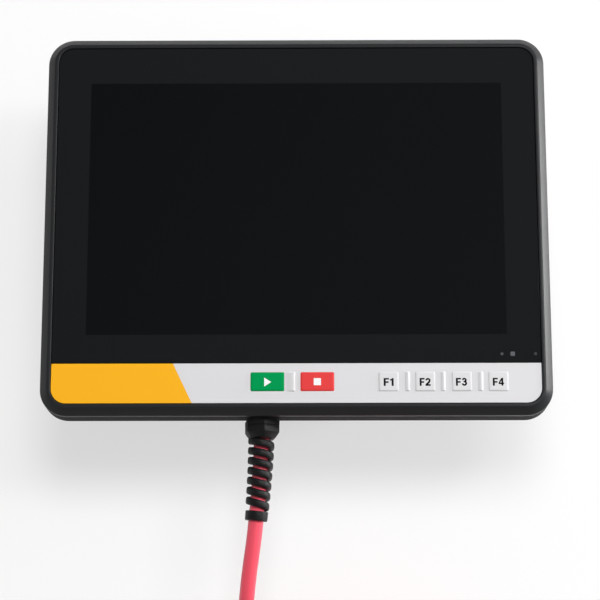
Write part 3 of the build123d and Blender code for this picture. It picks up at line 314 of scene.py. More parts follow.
def makeWovenFinish(name, color, pitch, rib, depth, rough):
    # woven band or mesh fabric on the piece's own UV map in metres; the gaps between threads get painted
    # shade, 0.35 of the threads' colour
    material, tree, shader, place = startMaterial(name, rough, specular=0.3)
    shader.inputs["Sheen Weight"].default_value = 0.25
    shader.inputs["Sheen Roughness"].default_value = 0.5
    cloth = node(tree, "UVMap", uv_map="cloth").outputs[0]
    weave = useGroup(tree, weaveGroup, {"Vector": cloth, "Pitch": pitch * mm, "Rib": rib})
    shadeTone = tuple([c * 0.35 for c in color[:3]] + [1.0])
    threads = mixTone(tree, weave["GapShade"], color, shadeTone)
    tone = useGroup(tree, driftGroup, {"Vector": place, "Color": threads, "Amount": 0.25, "Scale": 60.0})
    tree.links.new(tone["Color"], shader.inputs["Base Color"])
    addBump(tree, shader, weave["Height"], depth * mm)
    materials[name] = material


floorLook = {"tone": linear(253, 253, 253), "rough": 0.95, "own": 0.6, "size": 6000.0, "rows": 25}


def makeFloorFinish(look):
    # seen by the camera: white * own + lit floor * (1 - own), so the object's shadow stays
    material, tree, shader, place = startMaterial("paleFloor", look["rough"], specular=0.05)
    tone = useGroup(tree, driftGroup, {"Vector": place, "Color": look["tone"], "Amount": 0.01, "Scale": 3.0})
    tree.links.new(tone["Color"], shader.inputs["Base Color"])
    white = node(tree, "Emission", {"Color": (1.0, 1.0, 1.0, 1.0), "Strength": 1.0})
    seen = calc(tree, "MULTIPLY", node(tree, "LightPath").outputs["Is Camera Ray"], look["own"])
    mixed = node(tree, "MixShader", {0: seen, 1: shader.outputs[0], 2: white.outputs[0]})
    tree.links.new(mixed.outputs[0], tree.nodes["Material Output"].inputs["Surface"])
    materials["paleFloor"] = material


makeOverlayFinish(overlayPrint)
makeGlassFinish(glassPrint)
makeWovenFinish("strap_webbing", linear(36, 36, 39), 1.3, 1.6, 0.16, 0.8)
makeWovenFinish("pad_fabric", linear(46, 47, 51), 1.8, 1.0, 0.14, 0.85)
makeFloorFinish(floorLook)

otherLooks = {"estop_stem": "steel"}  # nodes that look other than their slot's finish
slots = {}
for part in frame["record"]["subparts"]:
    cadNode = frame["nodes"][part["node"]]
    slots[part["node"]] = part["material_slot"]
    look = materials[otherLooks.get(part["node"], part["material_slot"])]
    if cadNode.material_slots:
        for holder in cadNode.material_slots:
            holder.material = look
    else:
        cadNode.data.materials.append(look)
print("materials:", len(materials))


# Mesh helpers
@contextmanager
def editing(mesh):
    work = bmesh.new()
    work.from_mesh(mesh)
    yield work
    work.to_mesh(mesh)
    work.free()


def readPoints(mesh):
    points = np.empty(len(mesh.vertices) * 3)
    mesh.vertices.foreach_get("co", points)
    return points.reshape(-1, 3)


def evaluatedMesh(piece):
    return bpy.data.meshes.new_from_object(piece.evaluated_get(bpy.context.evaluated_depsgraph_get()))


def addCloth(mesh, flat):
    # UV map in metres from one flat place in mm for each vertex
    layer = mesh.uv_layers.new(name="cloth")
    corner = np.empty(len(mesh.loops), int)
    mesh.loops.foreach_get("vertex_index", corner)
    layer.data.foreach_set("uv", (flat.reshape(-1, 2)[corner] * mm).ravel())


def finishMesh(name, mesh, material, sharp=32.0):
    mesh.validate()
    mesh.shade_smooth()
    if sharp:
        mesh.set_sharp_from_angle(angle=math.radians(sharp))
    piece = addObject(name, mesh)
    mesh.materials.append(materials[material] if isinstance(material, str) else material)
    return piece


def turnOut(mesh):
    # doubles merged, every face outwards
    with editing(mesh) as work:
        bmesh.ops.remove_doubles(work, verts=work.verts, dist=1e-6)
        bmesh.ops.recalc_face_normals(work, faces=work.faces)
    return mesh


def gridPiece(name, points, material, closeU=False, closeV=False, capStart=False, capEnd=False, sharp=32.0,
              cloth=None):
    # surface through a grid of points: rows along u, points of a row along v, four-sided faces between them
    rows, columns = points.shape[:2]
    index = np.arange(rows * columns).reshape(rows, columns)
    lower = index if closeU else index[:-1]
    upper = np.roll(index, -1, axis=0) if closeU else index[1:]
    if closeV:
        lowerNext, upperNext = np.roll(lower, -1, axis=1), np.roll(upper, -1, axis=1)
    else:
        lowerNext, upperNext = lower[:, 1:], upper[:, 1:]
        lower, upper = lower[:, :-1], upper[:, :-1]
    faces = np.stack([lower, lowerNext, upperNext, upper], axis=-1).reshape(-1, 4).tolist()
    if capStart:
        faces.append(index[0][::-1].tolist())
    if capEnd:
        faces.append(index[-1].tolist())
    mesh = bpy.data.meshes.new(name)
    mesh.from_pydata((points.reshape(-1, 3) * mm).tolist(), [], faces)
    if cloth is not None:
        addCloth(mesh, cloth)
    return finishMesh(name, turnOut(mesh), material, sharp)


def joinPieces(name, parts):
    # one mesh from several; each keeps its own material
    work = bmesh.new()
    looks = []
    for part in parts:
        look = part.data.materials[0]
        if look not in looks:
            looks.append(look)
        before = len(work.faces)
        work.from_mesh(part.data)
        work.faces.ensure_lookup_table()
        for face in work.faces[before:]:
            face.material_index = looks.index(look)
    mesh = parts[0].data
    for part in parts[1:]:
        bpy.data.objects.remove(part, do_unlink=True)
    work.to_mesh(mesh)
    work.free()
    mesh.materials.clear()
    for look in looks:
        mesh.materials.append(look)
    parts[0].name = name
    return parts[0]


def roundLoop(x0, x1, y0, y1, radii, count=9):
    # rectangle with its own radius at each corner, counter-clockwise from the lower right
    corners = ((x1, y0, -90), (x1, y1, 0), (x0, y1, 90), (x0, y0, 180))
    inward = ((-1, 1), (-1, -1), (1, -1), (1, 1))
    loop = []
    for (x, y, start), (sx, sy), r in zip(corners, inward, radii):
        angles = np.radians(start + np.linspace(0, 90, count))
        r = max(r, 0.01)
        loop.append(np.stack([x + sx * r + r * np.cos(angles), y + sy * r + r * np.sin(angles)], axis=-1))
    return np.concatenate(loop)


def boxLoop(width, height, r, x=0.0, y=0.0, count=9):
    return roundLoop(x - width / 2, x + width / 2, y - height / 2, y + height / 2, [r] * 4, count)


def liftLoop(loop, z):
    return np.column_stack([loop, np.full(len(loop), z)])


def softProfile(corners, softness, steps=4):
    # a profile's corners rounded off: each becomes the curve (1-t)^2 a + 2t(1-t) corner + t^2 b
    corners = np.asarray(corners, float)
    made = []
    for i, corner in enumerate(corners):
        s = softness[i]
        if s <= 0:
            made.append(corner[None])
            continue
        before, after = corners[i - 1] - corner, corners[(i + 1) % len(corners)] - corner
        start = corner + before / np.linalg.norm(before) * s
        end = corner + after / np.linalg.norm(after) * s
        t = np.linspace(0, 1, steps + 1)[:, None]
        made.append((1 - t) ** 2 * start + 2 * t * (1 - t) * corner + t ** 2 * end)
    return np.concatenate(made)


def turnedPiece(name, profile, origin, axis, side, material, count=64, sharp=32.0, wave=None):
    # point = origin + along * axis + radius * (cos a * side + sin a * other)
    # wave scales the radius by the profile's row and the angle
    profile = np.asarray(profile, float)
    axis, side = np.asarray(axis, float), np.asarray(side, float)
    other = np.cross(axis, side)
    angles = np.linspace(0, 2 * math.pi, count, endpoint=False)
    ring = np.cos(angles)[:, None] * side + np.sin(angles)[:, None] * other
    radius = np.repeat(profile[:, 1:], count, axis=1)
    if wave is not None:
        radius = radius * wave(np.arange(len(profile))[:, None], angles[None])
    points = np.asarray(origin, float) + profile[:, None, :1] * axis + radius[..., None] * ring[None]
    return gridPiece(name, points, material, closeV=True, sharp=sharp)


def platePiece(name, loops, low, high, bevel, material, grow=0.0):
    # flat plate with holes: the first loop is its outline, the others its holes, with rounded edges
    curve = bpy.data.curves.new(name, "CURVE")
    curve.dimensions = "2D"
    curve.fill_mode = "BOTH"
    for number, loop in enumerate(loops):
        loop = np.asarray(loop, float)
        loop = loop if number == 0 else loop[::-1]
        line = curve.splines.new("POLY")
        line.points.add(len(loop) - 1)
        corners = np.column_stack([loop * mm, np.zeros(len(loop)), np.ones(len(loop))])
        line.points.foreach_set("co", corners.ravel())
        line.use_cyclic_u = True
    curve.extrude = ((high - low) / 2 - bevel) * mm
    curve.bevel_depth = bevel * mm
    curve.bevel_resolution = 2
    curve.offset = (grow - bevel) * mm
    holder = addObject(name, curve)
    mesh = evaluatedMesh(holder)
    bpy.data.objects.remove(holder, do_unlink=True)
    mesh.transform(Matrix.Translation((0, 0, (low + high) / 2 * mm)))
    mesh.materials.clear()
    return finishMesh(name, turnOut(mesh), material, 12.0)


def settle(piece, body, slotName, *nodes):
    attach(piece, body)
    if nodes:
        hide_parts(*nodes)
    return piece


def dressedCopy(name, width):
    # a CAD node's mesh copied, merged, and its edges sharper than 30 degrees rounded
    mesh = frame["nodes"][name].data.copy()
    with editing(mesh) as work:
        bmesh.ops.remove_doubles(work, verts=work.verts, dist=2e-6)
        bmesh.ops.dissolve_degenerate(work, edges=work.edges, dist=1e-6)
    mesh.materials.clear()
    piece = finishMesh(name + "_dressed", mesh, slots[name], 24.0)
    bevel = piece.modifiers.new("edges", "BEVEL")
    bevel.width = width * mm
    bevel.segments = 2
    bevel.limit_method = "ANGLE"
    bevel.angle_limit = math.radians(30.0)
    flat = piece.modifiers.new("flat", "WEIGHTED_NORMAL")  # broad faces stay flat beside their eased edges
    flat.weight = 100
    flat.keep_sharp = True
    settle(piece, "root", slots[name], name)


cord = {
    "diameter": 8.0,
    "length": 4800.0,
    "exit": (-18.0, -103.5, 71.5),
    "route": [(-18.0, -92.5, 71.5), (-18.1, -118.0, 71.4), (-21.2, -160.0, 69.8), (-25.4, -188.0, 66.0),
              (-27.6, -216.0, 57.0), (-29.4, -244.0, 45.5), (-29.9, -271.0, 39.1)],
    "tail": [(61.8, -332.6, 5.9), (76.0, -333.1, 7.9), (92.0, -333.0, 13.2), (108.0, -333.0, 13.2)],
    "coilMiddle": (30.4, -272.0),
    "rings": (60.3, 52.1, 43.9, 35.7),
    "levels": (30.7, 22.5, 14.3, 6.1),
    "drop": 8.4,       # height of the first turn's start above the top level
    "startAngle": 195.0, "endAngle": 5655.0,
    "stepAngle": 530.0, "stepSpread": 40.0, "stride": 15.0,
    "laid": 200,       # points of its line before the coil
}


def smoothStep(t):
    t = np.clip(t, 0, 1)
    return t * t * (3 - 2 * t)


def coilPoints(c):
    # radius and height stay level for a turn, then move over by one place in a short smooth step
    places = []
    for number, level in enumerate(c["levels"]):
        rings = c["rings"] if number % 2 == 0 else c["rings"][::-1]
        places += [(ring, level) for ring in rings]
    places = np.array(places)
    angles = np.arange(c["startAngle"], c["endAngle"] + 0.1, c["stride"])
    turns = (angles[:, None] - c["stepAngle"] - 360.0 * np.arange(len(places) - 1)) / c["stepSpread"] + 0.5
    step = smoothStep(turns).sum(axis=1)
    low = np.minimum(step.astype(int), len(places) - 2)
    share = (step - low)[:, None]
    ring, level = (places[low] * (1 - share) + places[low + 1] * share).T
    level = level + c["drop"] * (1 - smoothStep((angles - 180.0) / 90.0))
    a = np.radians(angles)
    x, y = c["coilMiddle"]
    return np.stack([x + ring * np.cos(a), y + ring * np.sin(a), level], axis=-1)


def makeCord(c):
    points = np.concatenate([c["route"], coilPoints(c), c["tail"]]) * mm
    curve = bpy.data.curves.new("cord", "CURVE")
    curve.dimensions = "3D"
    line = curve.splines.new("NURBS")
    line.points.add(len(points) - 1)
    line.points.foreach_set("co", np.column_stack([points, np.ones(len(points))]).ravel())
    line.order_u = 3
    line.use_endpoint_u = True
    curve.resolution_u = 5
    piece = addObject("cord", curve)
    middle = readPoints(evaluatedMesh(piece)) / mm
    curve.bevel_depth = c["diameter"] / 2 * mm
    curve.bevel_resolution = 5
    curve.use_fill_caps = True
    curve.materials.append(materials["cable_red"])
    return piece, middle


cordPiece, cordMiddle = makeCord(cord)
settle(cordPiece, "root", "cable_red", "cable", "cable_tail", "cable_coil")
print("cord:", len(cordMiddle), "points on its line,",
      round(np.linalg.norm(np.diff(cordMiddle, axis=0), axis=1).sum()), "mm")

lamps = {  # place, aim and size in metres, power in watts, whether gloss mirrors it
    "overheadLamp": ((0.15, 0.50, 2.0), (0.0, 0.0, 0.05), (0.7, 0.7), 20.0, False),
    "rightLamp": ((0.72, 0.32, 1.35), (0.0, 0.0, 0.07), (0.3, 0.5), 5.6, True),
    "lowRightLamp": ((1.30, 0.25, 0.25), (0.0, 0.0, 0.08), (0.5, 0.5), 13.0, True),
    "topLamp": ((0.1, 1.5, 1.0), (0.0, 0.0, 0.07), (1.2, 0.4), 0.9, True),
    "leftLamp": ((-1.1, 0.1, 0.35), (0.0, 0.0, 0.07), (0.6, 0.4), 0.3, True),
}
worldLevel = 0.24


def makeLight(level):
    for name, (place, aim, size, power, glossy) in lamps.items():
        data = bpy.data.lights.new(name, "AREA")
        data.shape = "RECTANGLE"
        data.size, data.size_y = size
        data.energy = power
        holder = addObject(name, data)
        way = (Vector(aim) - Vector(place)).to_track_quat("-Z", "Y")
        holder.matrix_world = Matrix.Translation(place) @ way.to_matrix().to_4x4()
        holder.visible_glossy = glossy
    world = bpy.data.worlds.new("studio")
    bpy.context.scene.world = world
    world.use_nodes = True
    world.node_tree.nodes["Background"].inputs[0].default_value = (1.0, 1.0, 1.0, 1.0)
    world.node_tree.nodes["Background"].inputs[1].default_value = level


def makeFloor(look):
    line = np.linspace(-look["size"], look["size"], look["rows"])
    x, y = np.meshgrid(line, line, indexing="ij")
    gridPiece("floor", np.stack([x, y, np.zeros_like(x)], axis=-1), "paleFloor")


makeFloor(floorLook)
makeLight(worldLevel)
bpy.context.scene.view_settings.view_transform = "Standard"
print("floor and light placed")

bezel = {
    "w": 268.0, "h": 207.0, "r": 14.0,
    "parting": 81.5, "side": 84.0, "rim": 88.0, "chamfer": 4.0, "flat": 1.9,
    "ledge": 84.0, "ledgeW": 7.0, "ledgeUnder": 79.5, "tongue": 3.5,
    "soft": [0.2, 0.5, 0.55, 0.65, 0.1, 0.2, 0.2, 0.2, 0.0],
}


def makeBezel(b):
    # a profile of (inset, height) carried round the rounded outline, each corner of it eased
    lip = b["chamfer"] + b["flat"]
    corners = [(0, b["parting"]), (0, b["side"]), (b["chamfer"], b["rim"]), (lip, b["rim"]),
               (lip, b["ledge"]), (lip + b["ledgeW"], b["ledge"]), (lip + b["ledgeW"], b["ledgeUnder"]),
               (b["tongue"], b["ledgeUnder"]), (b["tongue"], b["parting"])]
    loops = [liftLoop(boxLoop(b["w"] - 2 * inset, b["h"] - 2 * inset, b["r"] - inset, count=13), z)
             for inset, z in softProfile(corners, b["soft"])]
    piece = gridPiece("front_bezel_shell", np.array(loops), "bezel_plastic", closeU=True, closeV=True,
                      sharp=22.0)
    settle(piece, "root", "bezel_plastic", "front_bezel")


makeBezel(bezel)

glass = {
    "x": 127.8, "top": 97.3, "bottom": -76.05, "topR": 7.8, "bottomR": 0.3, "low": 84.5, "high": 87.5,
    "edge": 0.22,
}
marks = {  # small printed marks in the glass: x, y, half size, corner radius, colour
    "sensor": (107.4, -71.5, 0.8, 0.8, linear(66, 70, 74)),
    "lamp": (113.0, -71.5, 1.15, 0.45, linear(84, 88, 92)),
    "second": (124.9, -71.5, 0.85, 0.85, linear(40, 42, 45)),
}


def makeGlass(g):
    radii = [g["bottomR"], g["topR"], g["topR"], g["bottomR"]]
    outline = roundLoop(-g["x"], g["x"], g["bottom"], g["top"], radii, 12)
    piece = platePiece("cover_glass_pane", [outline], g["low"], g["high"], g["edge"], "glass_black")
    settle(piece, "root", "glass_black", "cover_glass")
    for name, (x, y, half, r, tone) in marks.items():
        plainFinish("mark_" + name, dict(color=tone, rough=0.3, grain=0.2, depth=0.001, drift=0.04, rub=0.04))
        dot = platePiece("glass_mark_" + name, [boxLoop(2 * half, 2 * half, r, x, y, 8)], g["high"] - 0.03,
                         g["high"] + 0.012, 0.006, "mark_" + name)
        settle(dot, "root", "glass_black")


makeGlass(glass)

keys = {  # x of the middle, width, height, material
    "start_key": (-15.0, 17.6, 10.0, "key_green"), "stop_key": (11.0, 17.6, 10.0, "key_red"),
    "f1_key": (48.1, 10.6, 10.6, "key_grey"), "f2_key": (67.15, 10.6, 10.6, "key_grey"),
    "f3_key": (86.2, 10.6, 10.6, "key_grey"), "f4_key": (105.25, 10.6, 10.6, "key_grey"),
}
film = {
    "x": 127.8, "top": -76.35, "bottom": -97.3, "r": 7.8, "low": 86.7, "high": 87.5, "edge": 0.04,
    "keyY": -86.1, "keyTop": 88.0, "keyLow": 83.9, "gap": 0.02, "keyR": 0.8, "keySlope": 0.7,
    "ridgeH": 0.7, "ridgeLen": 10.6,
    "ridges": (  # x of the middle, width, lean
        (-2.8, 4.8, 0.55), (57.9, 2.8, 0.2), (76.45, 2.8, 0.2), (96.0, 3.0, 0.2)),
}


def makeFilm(f):
    # ridge = cos(w pi / 2) ** 1.2 across, where w = (u - lean) / (1 -+ lean), with ends that fall off
    # key edge = smooth step of its own height
    outline = roundLoop(-f["x"], f["x"], f["bottom"], f["top"], [f["r"], 0.3, 0.3, f["r"]], 12)
    holes = [boxLoop(w + 2 * f["gap"], h + 2 * f["gap"], f["keyR"], x, f["keyY"])
             for x, w, h, look in keys.values()]
    parts = [platePiece("keypad_film", [outline] + holes, f["low"], f["high"], f["edge"], "overlay_film")]
    for x, width, lean in f["ridges"]:
        u, v = np.meshgrid(np.linspace(-1, 1, 25), np.linspace(-1, 1, 37), indexing="ij")
        w = (u - lean) / (1 - lean * np.sign(u - lean))
        height = np.clip(np.cos(w * math.pi / 2), 0, 1) ** 1.2 * smoothStep((1 - np.abs(v)) * 8)
        points = np.stack([x + u * width / 2, f["keyY"] + v * f["ridgeLen"] / 2,
                           f["high"] - 0.02 + f["ridgeH"] * height], axis=-1)
        parts.append(gridPiece("ridge", points, "overlay_film"))
    settle(joinPieces("keypad_film", parts), "root", "overlay_film", "keypad_overlay")
    t = np.linspace(0, 1, 9)
    rise = np.stack([t * f["keySlope"], f["high"] + (f["keyTop"] - f["high"]) * smoothStep(t)], axis=-1)
    profile = np.concatenate([[(0, f["keyLow"])], rise, [(f["keySlope"] + 0.8, f["keyTop"])]])
    for name, (x, width, height, look) in keys.items():
        loops = []
        for inset, z in profile:
            radius = max(f["keyR"] - inset * 0.3, 0.3)
            loops.append(liftLoop(boxLoop(width - 2 * inset, height - 2 * inset, radius, x, f["keyY"]), z))
        cap = gridPiece(name + "_cap", np.array(loops), look, closeV=True, capStart=True, capEnd=True,
                        sharp=40.0)
        settle(cap, name, look, name)


makeFilm(film)

symbols = {"triangle": ((-16.67, -83.94), (-16.67, -88.71), (-13.02, -86.33)), "square": (11.0, -86.2, 3.75)}
legends = {"F1": ("f1_key", 45.56, 50.62), "F2": ("f2_key", 64.30, 69.81), "F3": ("f3_key", 83.14, 88.78),
           "F4": ("f4_key", 102.29, 108.02)}
legendY = (-88.45, -84.45)


def arcPoints(x, y, r, first, last, count=12):
    # points of an arc from the first to the last angle, in degrees
    a = np.radians(np.linspace(first, last, count))
    return np.stack([x + r * np.cos(a), y + r * np.sin(a)], axis=-1).tolist()


glyphs = {  # outlines on a unit height, each with its holes; the pen is 0.2 wide
    "F": [[(0, 0), (0.2, 0), (0.2, 0.4), (0.53, 0.4), (0.53, 0.57), (0.2, 0.57), (0.2, 0.83), (0.58, 0.83),
           (0.58, 1), (0, 1)]],
    "1": [[(0.2, 0), (0.4, 0), (0.4, 1), (0.26, 1), (0.22, 0.91), (0.13, 0.86), (0, 0.85), (0, 0.71),
           (0.2, 0.71)]],
    "2": [[(0, 0), (0.62, 0), (0.62, 0.18), (0.3, 0.18), (0.52, 0.39)]
          + arcPoints(0.31, 0.69, 0.31, -38, 176, 18)
          + arcPoints(0.31, 0.69, 0.12, 170, -30, 12) + [(0.36, 0.54), (0.02, 0.2)]],
    "3": [arcPoints(0.31, 0.3, 0.31, 188, 400, 20) + arcPoints(0.30, 0.73, 0.28, -26, 172, 18)
          + arcPoints(0.30, 0.73, 0.10, 168, -88, 12) + [(0.22, 0.63), (0.22, 0.46), (0.30, 0.46)]
          + arcPoints(0.31, 0.3, 0.12, 70, -168, 14)],
    "4": [[(0.34, 0), (0.53, 0), (0.53, 0.21), (0.63, 0.21), (0.63, 0.37), (0.53, 0.37), (0.53, 1), (0.34, 1),
           (0, 0.39), (0, 0.21), (0.34, 0.21)], [(0.34, 0.37), (0.34, 0.74), (0.14, 0.37)]],
}
glyphGap, glyphGrow = 0.13, 0.07


def makeSymbols():
    low, high = film["keyTop"] - 0.06, film["keyTop"] + 0.015
    x, y, side = symbols["square"]
    shapes = {"start": (symbols["triangle"], "key_green"), "stop": (boxLoop(side, side, 0.15, x, y),
                                                                    "key_red")}
    for name, (loop, slotName) in shapes.items():
        plate = platePiece(name + "_symbol", [loop], low, high, 0.008, "symbol_white")
        settle(plate, name + "_key", slotName)
    for text, (body, left, right) in legends.items():
        size = legendY[1] - legendY[0]
        parts = []
        widths = [max(x for x, y in glyphs[letter][0]) for letter in text]
        stretch = (right - left) / (sum(widths) * size + glyphGap * size)
        x = left
        for letter, width in zip(text, widths):
            loops = [np.array(loop) * size * (stretch, 1) + (x, legendY[0]) for loop in glyphs[letter]]
            parts.append(platePiece("glyph", loops, low, high, 0.006, "legend_black", grow=glyphGrow))
            x += (width + glyphGap) * size * stretch
        settle(joinPieces("legend_" + text, parts), body, "key_grey")


makeSymbols()
print("front: bezel, glass, film, keys, symbols")

relief = {
    "x": -18.0, "z": 71.5, "wallY": -103.5, "af": 17.0, "turn": 9.0,
    "capStart": 3.2, "capHex": 3.3, "capCone": 3.7, "coneR": 7.0, "bore": 5.2, "topBore": 7.3, "topDeep": 6.1,
    "pitch": 5.25, "band": 4.0, "thick": 2.6, "r": 7.0, "taper": 1.15, "first": -2.0, "length": 39.0,
    "collarR": 6.0, "collarLen": 3.8, "collarBore": 4.3, "firstAngle": 150.0,
}


def hexLoop(flats, turn, easing, count=6):
    # hexagon with eased corners: corner k at 60 k + turn degrees
    outer = flats / 2 / math.cos(math.pi / 6)
    corners = [(outer * math.cos(math.radians(60 * k + turn)), outer * math.sin(math.radians(60 * k + turn)))
               for k in range(6)]
    return softProfile(corners, [easing] * 6, count)


def cordAxis(first, last, step=0.5):
    # points of the cord's own line between two distances down the table, evenly spaced, with their directions
    y = -cordMiddle[:, 1]
    keep = (np.arange(len(y)) < cord["laid"]) & (y > first - 12) & (y < last + 12)
    line = cordMiddle[keep]
    wanted = np.arange(first, last + step / 2, step)
    points = np.stack([np.interp(wanted, -line[:, 1], line[:, axis]) for axis in range(3)], axis=-1)
    way = np.gradient(points, axis=0)
    return points, way / np.linalg.norm(way, axis=1)[:, None]


def reliefNut(r):
    # the hexagon's loops shrink to a circle: radius <= corner (1 - t) + cone t + 0.25 sin(pi t)
    hexEnd = r["capStart"] + r["capHex"]
    capEnd = hexEnd + r["capCone"]
    corner = r["af"] / 2 / math.cos(math.pi / 6)
    hexagon = hexLoop(r["af"], 90 - r["turn"], 0.5)
    circle = hexagon / np.linalg.norm(hexagon, axis=1)[:, None]
    loops = [(r["capStart"], hexagon * 0.985), (r["capStart"] + 0.25, hexagon), (hexEnd - 0.2, hexagon),
             (hexEnd + 0.1, hexagon * 0.993)]
    for t in np.linspace(0.12, 1.0, 9):
        limit = corner * (1 - t) + r["coneR"] * t + 0.25 * math.sin(math.pi * t)
        radius = np.linalg.norm(hexagon, axis=1)
        loops.append((hexEnd + t * r["capCone"], hexagon * (np.minimum(radius, limit) / radius)[:, None]))
    step = r["capStart"] + r["topDeep"]
    inner = ((capEnd + 0.15, r["coneR"] - 0.3), (capEnd + 0.1, r["bore"] + 0.2), (capEnd - 0.4, r["bore"]),
             (step, r["bore"]), (step, r["topBore"]), (r["capStart"], r["topBore"]))
    loops += [(at, circle * radius) for at, radius in inner]
    points = np.array([np.column_stack([r["x"] + loop[:, 0], np.full(len(loop), r["wallY"] - at),
                                        r["z"] + loop[:, 1]]) for at, loop in loops])
    return gridPiece("nut", points, "gland_nylon", closeU=True, closeV=True, sharp=28.0)


def makeRelief(r):
    # band: rounded section carried along a left-hand helix about the cord's line
    # its outer radius = r - tan(taper) * way from the nut
    start = -r["wallY"] + r["capStart"] + r["capHex"] + r["capCone"]
    turns = (r["length"] - r["first"] - r["band"] / 2) / r["pitch"]
    u = np.linspace(0, turns, int(turns * 60))
    reach = start + r["first"] + u * r["pitch"]
    axisPoints, axisWays = cordAxis(start - 6, start + r["length"] + r["collarLen"] + 6)
    middle = np.stack([np.interp(reach, -axisPoints[:, 1], axisPoints[:, k]) for k in range(3)], axis=-1)
    way = np.stack([np.interp(reach, -axisPoints[:, 1], axisWays[:, k]) for k in range(3)], axis=-1)
    side = np.cross(way, np.array([0.0, 0.0, 1.0]))
    side /= np.linalg.norm(side, axis=1)[:, None]
    up = np.cross(side, way)
    angle = 2 * math.pi * u + math.radians(r["firstAngle"])
    out = np.cos(angle)[:, None] * side + np.sin(angle)[:, None] * up
    outerR = r["r"] - np.tan(math.radians(r["taper"])) * (reach - start)
    grow = smoothStep(u / 0.6) * smoothStep((turns - u) / 0.35)
    section = softProfile([(0.5, 0.5), (-0.5, 0.5), (-0.5, -0.5), (0.5, -0.5)], [0.42] * 4, 6)
    across = section[None, :, 0, None] * r["band"] * (0.35 + 0.65 * grow)[:, None, None] * way[:, None]
    thick = (section[None, :, 1, None] - 0.5) * r["thick"]
    points = middle[:, None] + across + (outerR[:, None, None] + thick) * out[:, None]
    band = gridPiece("band", points, "spiral_nylon", closeV=True, capStart=True, capEnd=True, sharp=40.0)
    at = start + r["length"]
    origin = np.array([np.interp(at, -axisPoints[:, 1], axisPoints[:, k]) for k in range(3)])
    axis = np.array([np.interp(at, -axisPoints[:, 1], axisWays[:, k]) for k in range(3)])
    corners = [(-1.2, r["collarBore"]), (-1.2, r["collarR"]), (r["collarLen"], r["collarR"] - 0.12),
               (r["collarLen"], r["collarBore"])]
    profile = softProfile(corners, [0.2, 0.45, 0.6, 0.3])
    profile = np.concatenate([profile, profile[:1]])
    cross = np.cross(axis, (0.0, 0.0, 1.0))
    collar = turnedPiece("collar", profile, origin, axis, cross / np.linalg.norm(cross), "spiral_nylon")
    piece = joinPieces("spiral_protector", [reliefNut(r), band, collar])
    return settle(piece, "root", "gland_nylon", "spiral_relief")


spiralPiece = makeRelief(relief)
print("gland: nut, spiral, collar")

housing = {
    "w": 268.0, "h": 207.0, "r": 14.0, "wall": 3.2, "parting": 81.5, "shoulder": 68.5, "back": 52.0,
    "taper": 40.0, "ringInset": 17.0, "edge": 1.9, "shoulderEdge": 0.7, "leastR": 0.15, "floor": 55.2,
    "screws": ((-108, 80), (108, 80), (-108, 9), (108, 9), (-108, -62), (108, -62)), "screwR": 3.35,
    "postR": 5.2, "postTop": 77.9, "opening": (62.0, 88.0, 8.0),
    "bosses": ((-36, 48), (36, 48), (-36, -48), (36, -48)), "bossR": 5.4, "bossTop": 59.2,
    "bracketPosts": ((-14, 75.3), (14, 75.3), (-14, -75.3), (14, -75.3)), "bracketR": 5.0, "bracketTop": 61.2,
    "bore": 1.65, "gland": (-18.0, -103.5, 71.5), "glandR": 9.4, "glandT": 7.2,
}


def fillFlat(loops, z, material):
    # flat region between an outline and its holes
    mesh = bpy.data.meshes.new("flat")
    with editing(mesh) as work:
        for loop in loops:
            corners = [work.verts.new((x * mm, y * mm, z * mm)) for x, y in loop]
            for first, second in zip(corners, corners[1:] + corners[:1]):
                work.edges.new((first, second))
        bmesh.ops.triangle_fill(work, use_beauty=True, edges=work.edges[:])
    return finishMesh("flat", mesh, material)


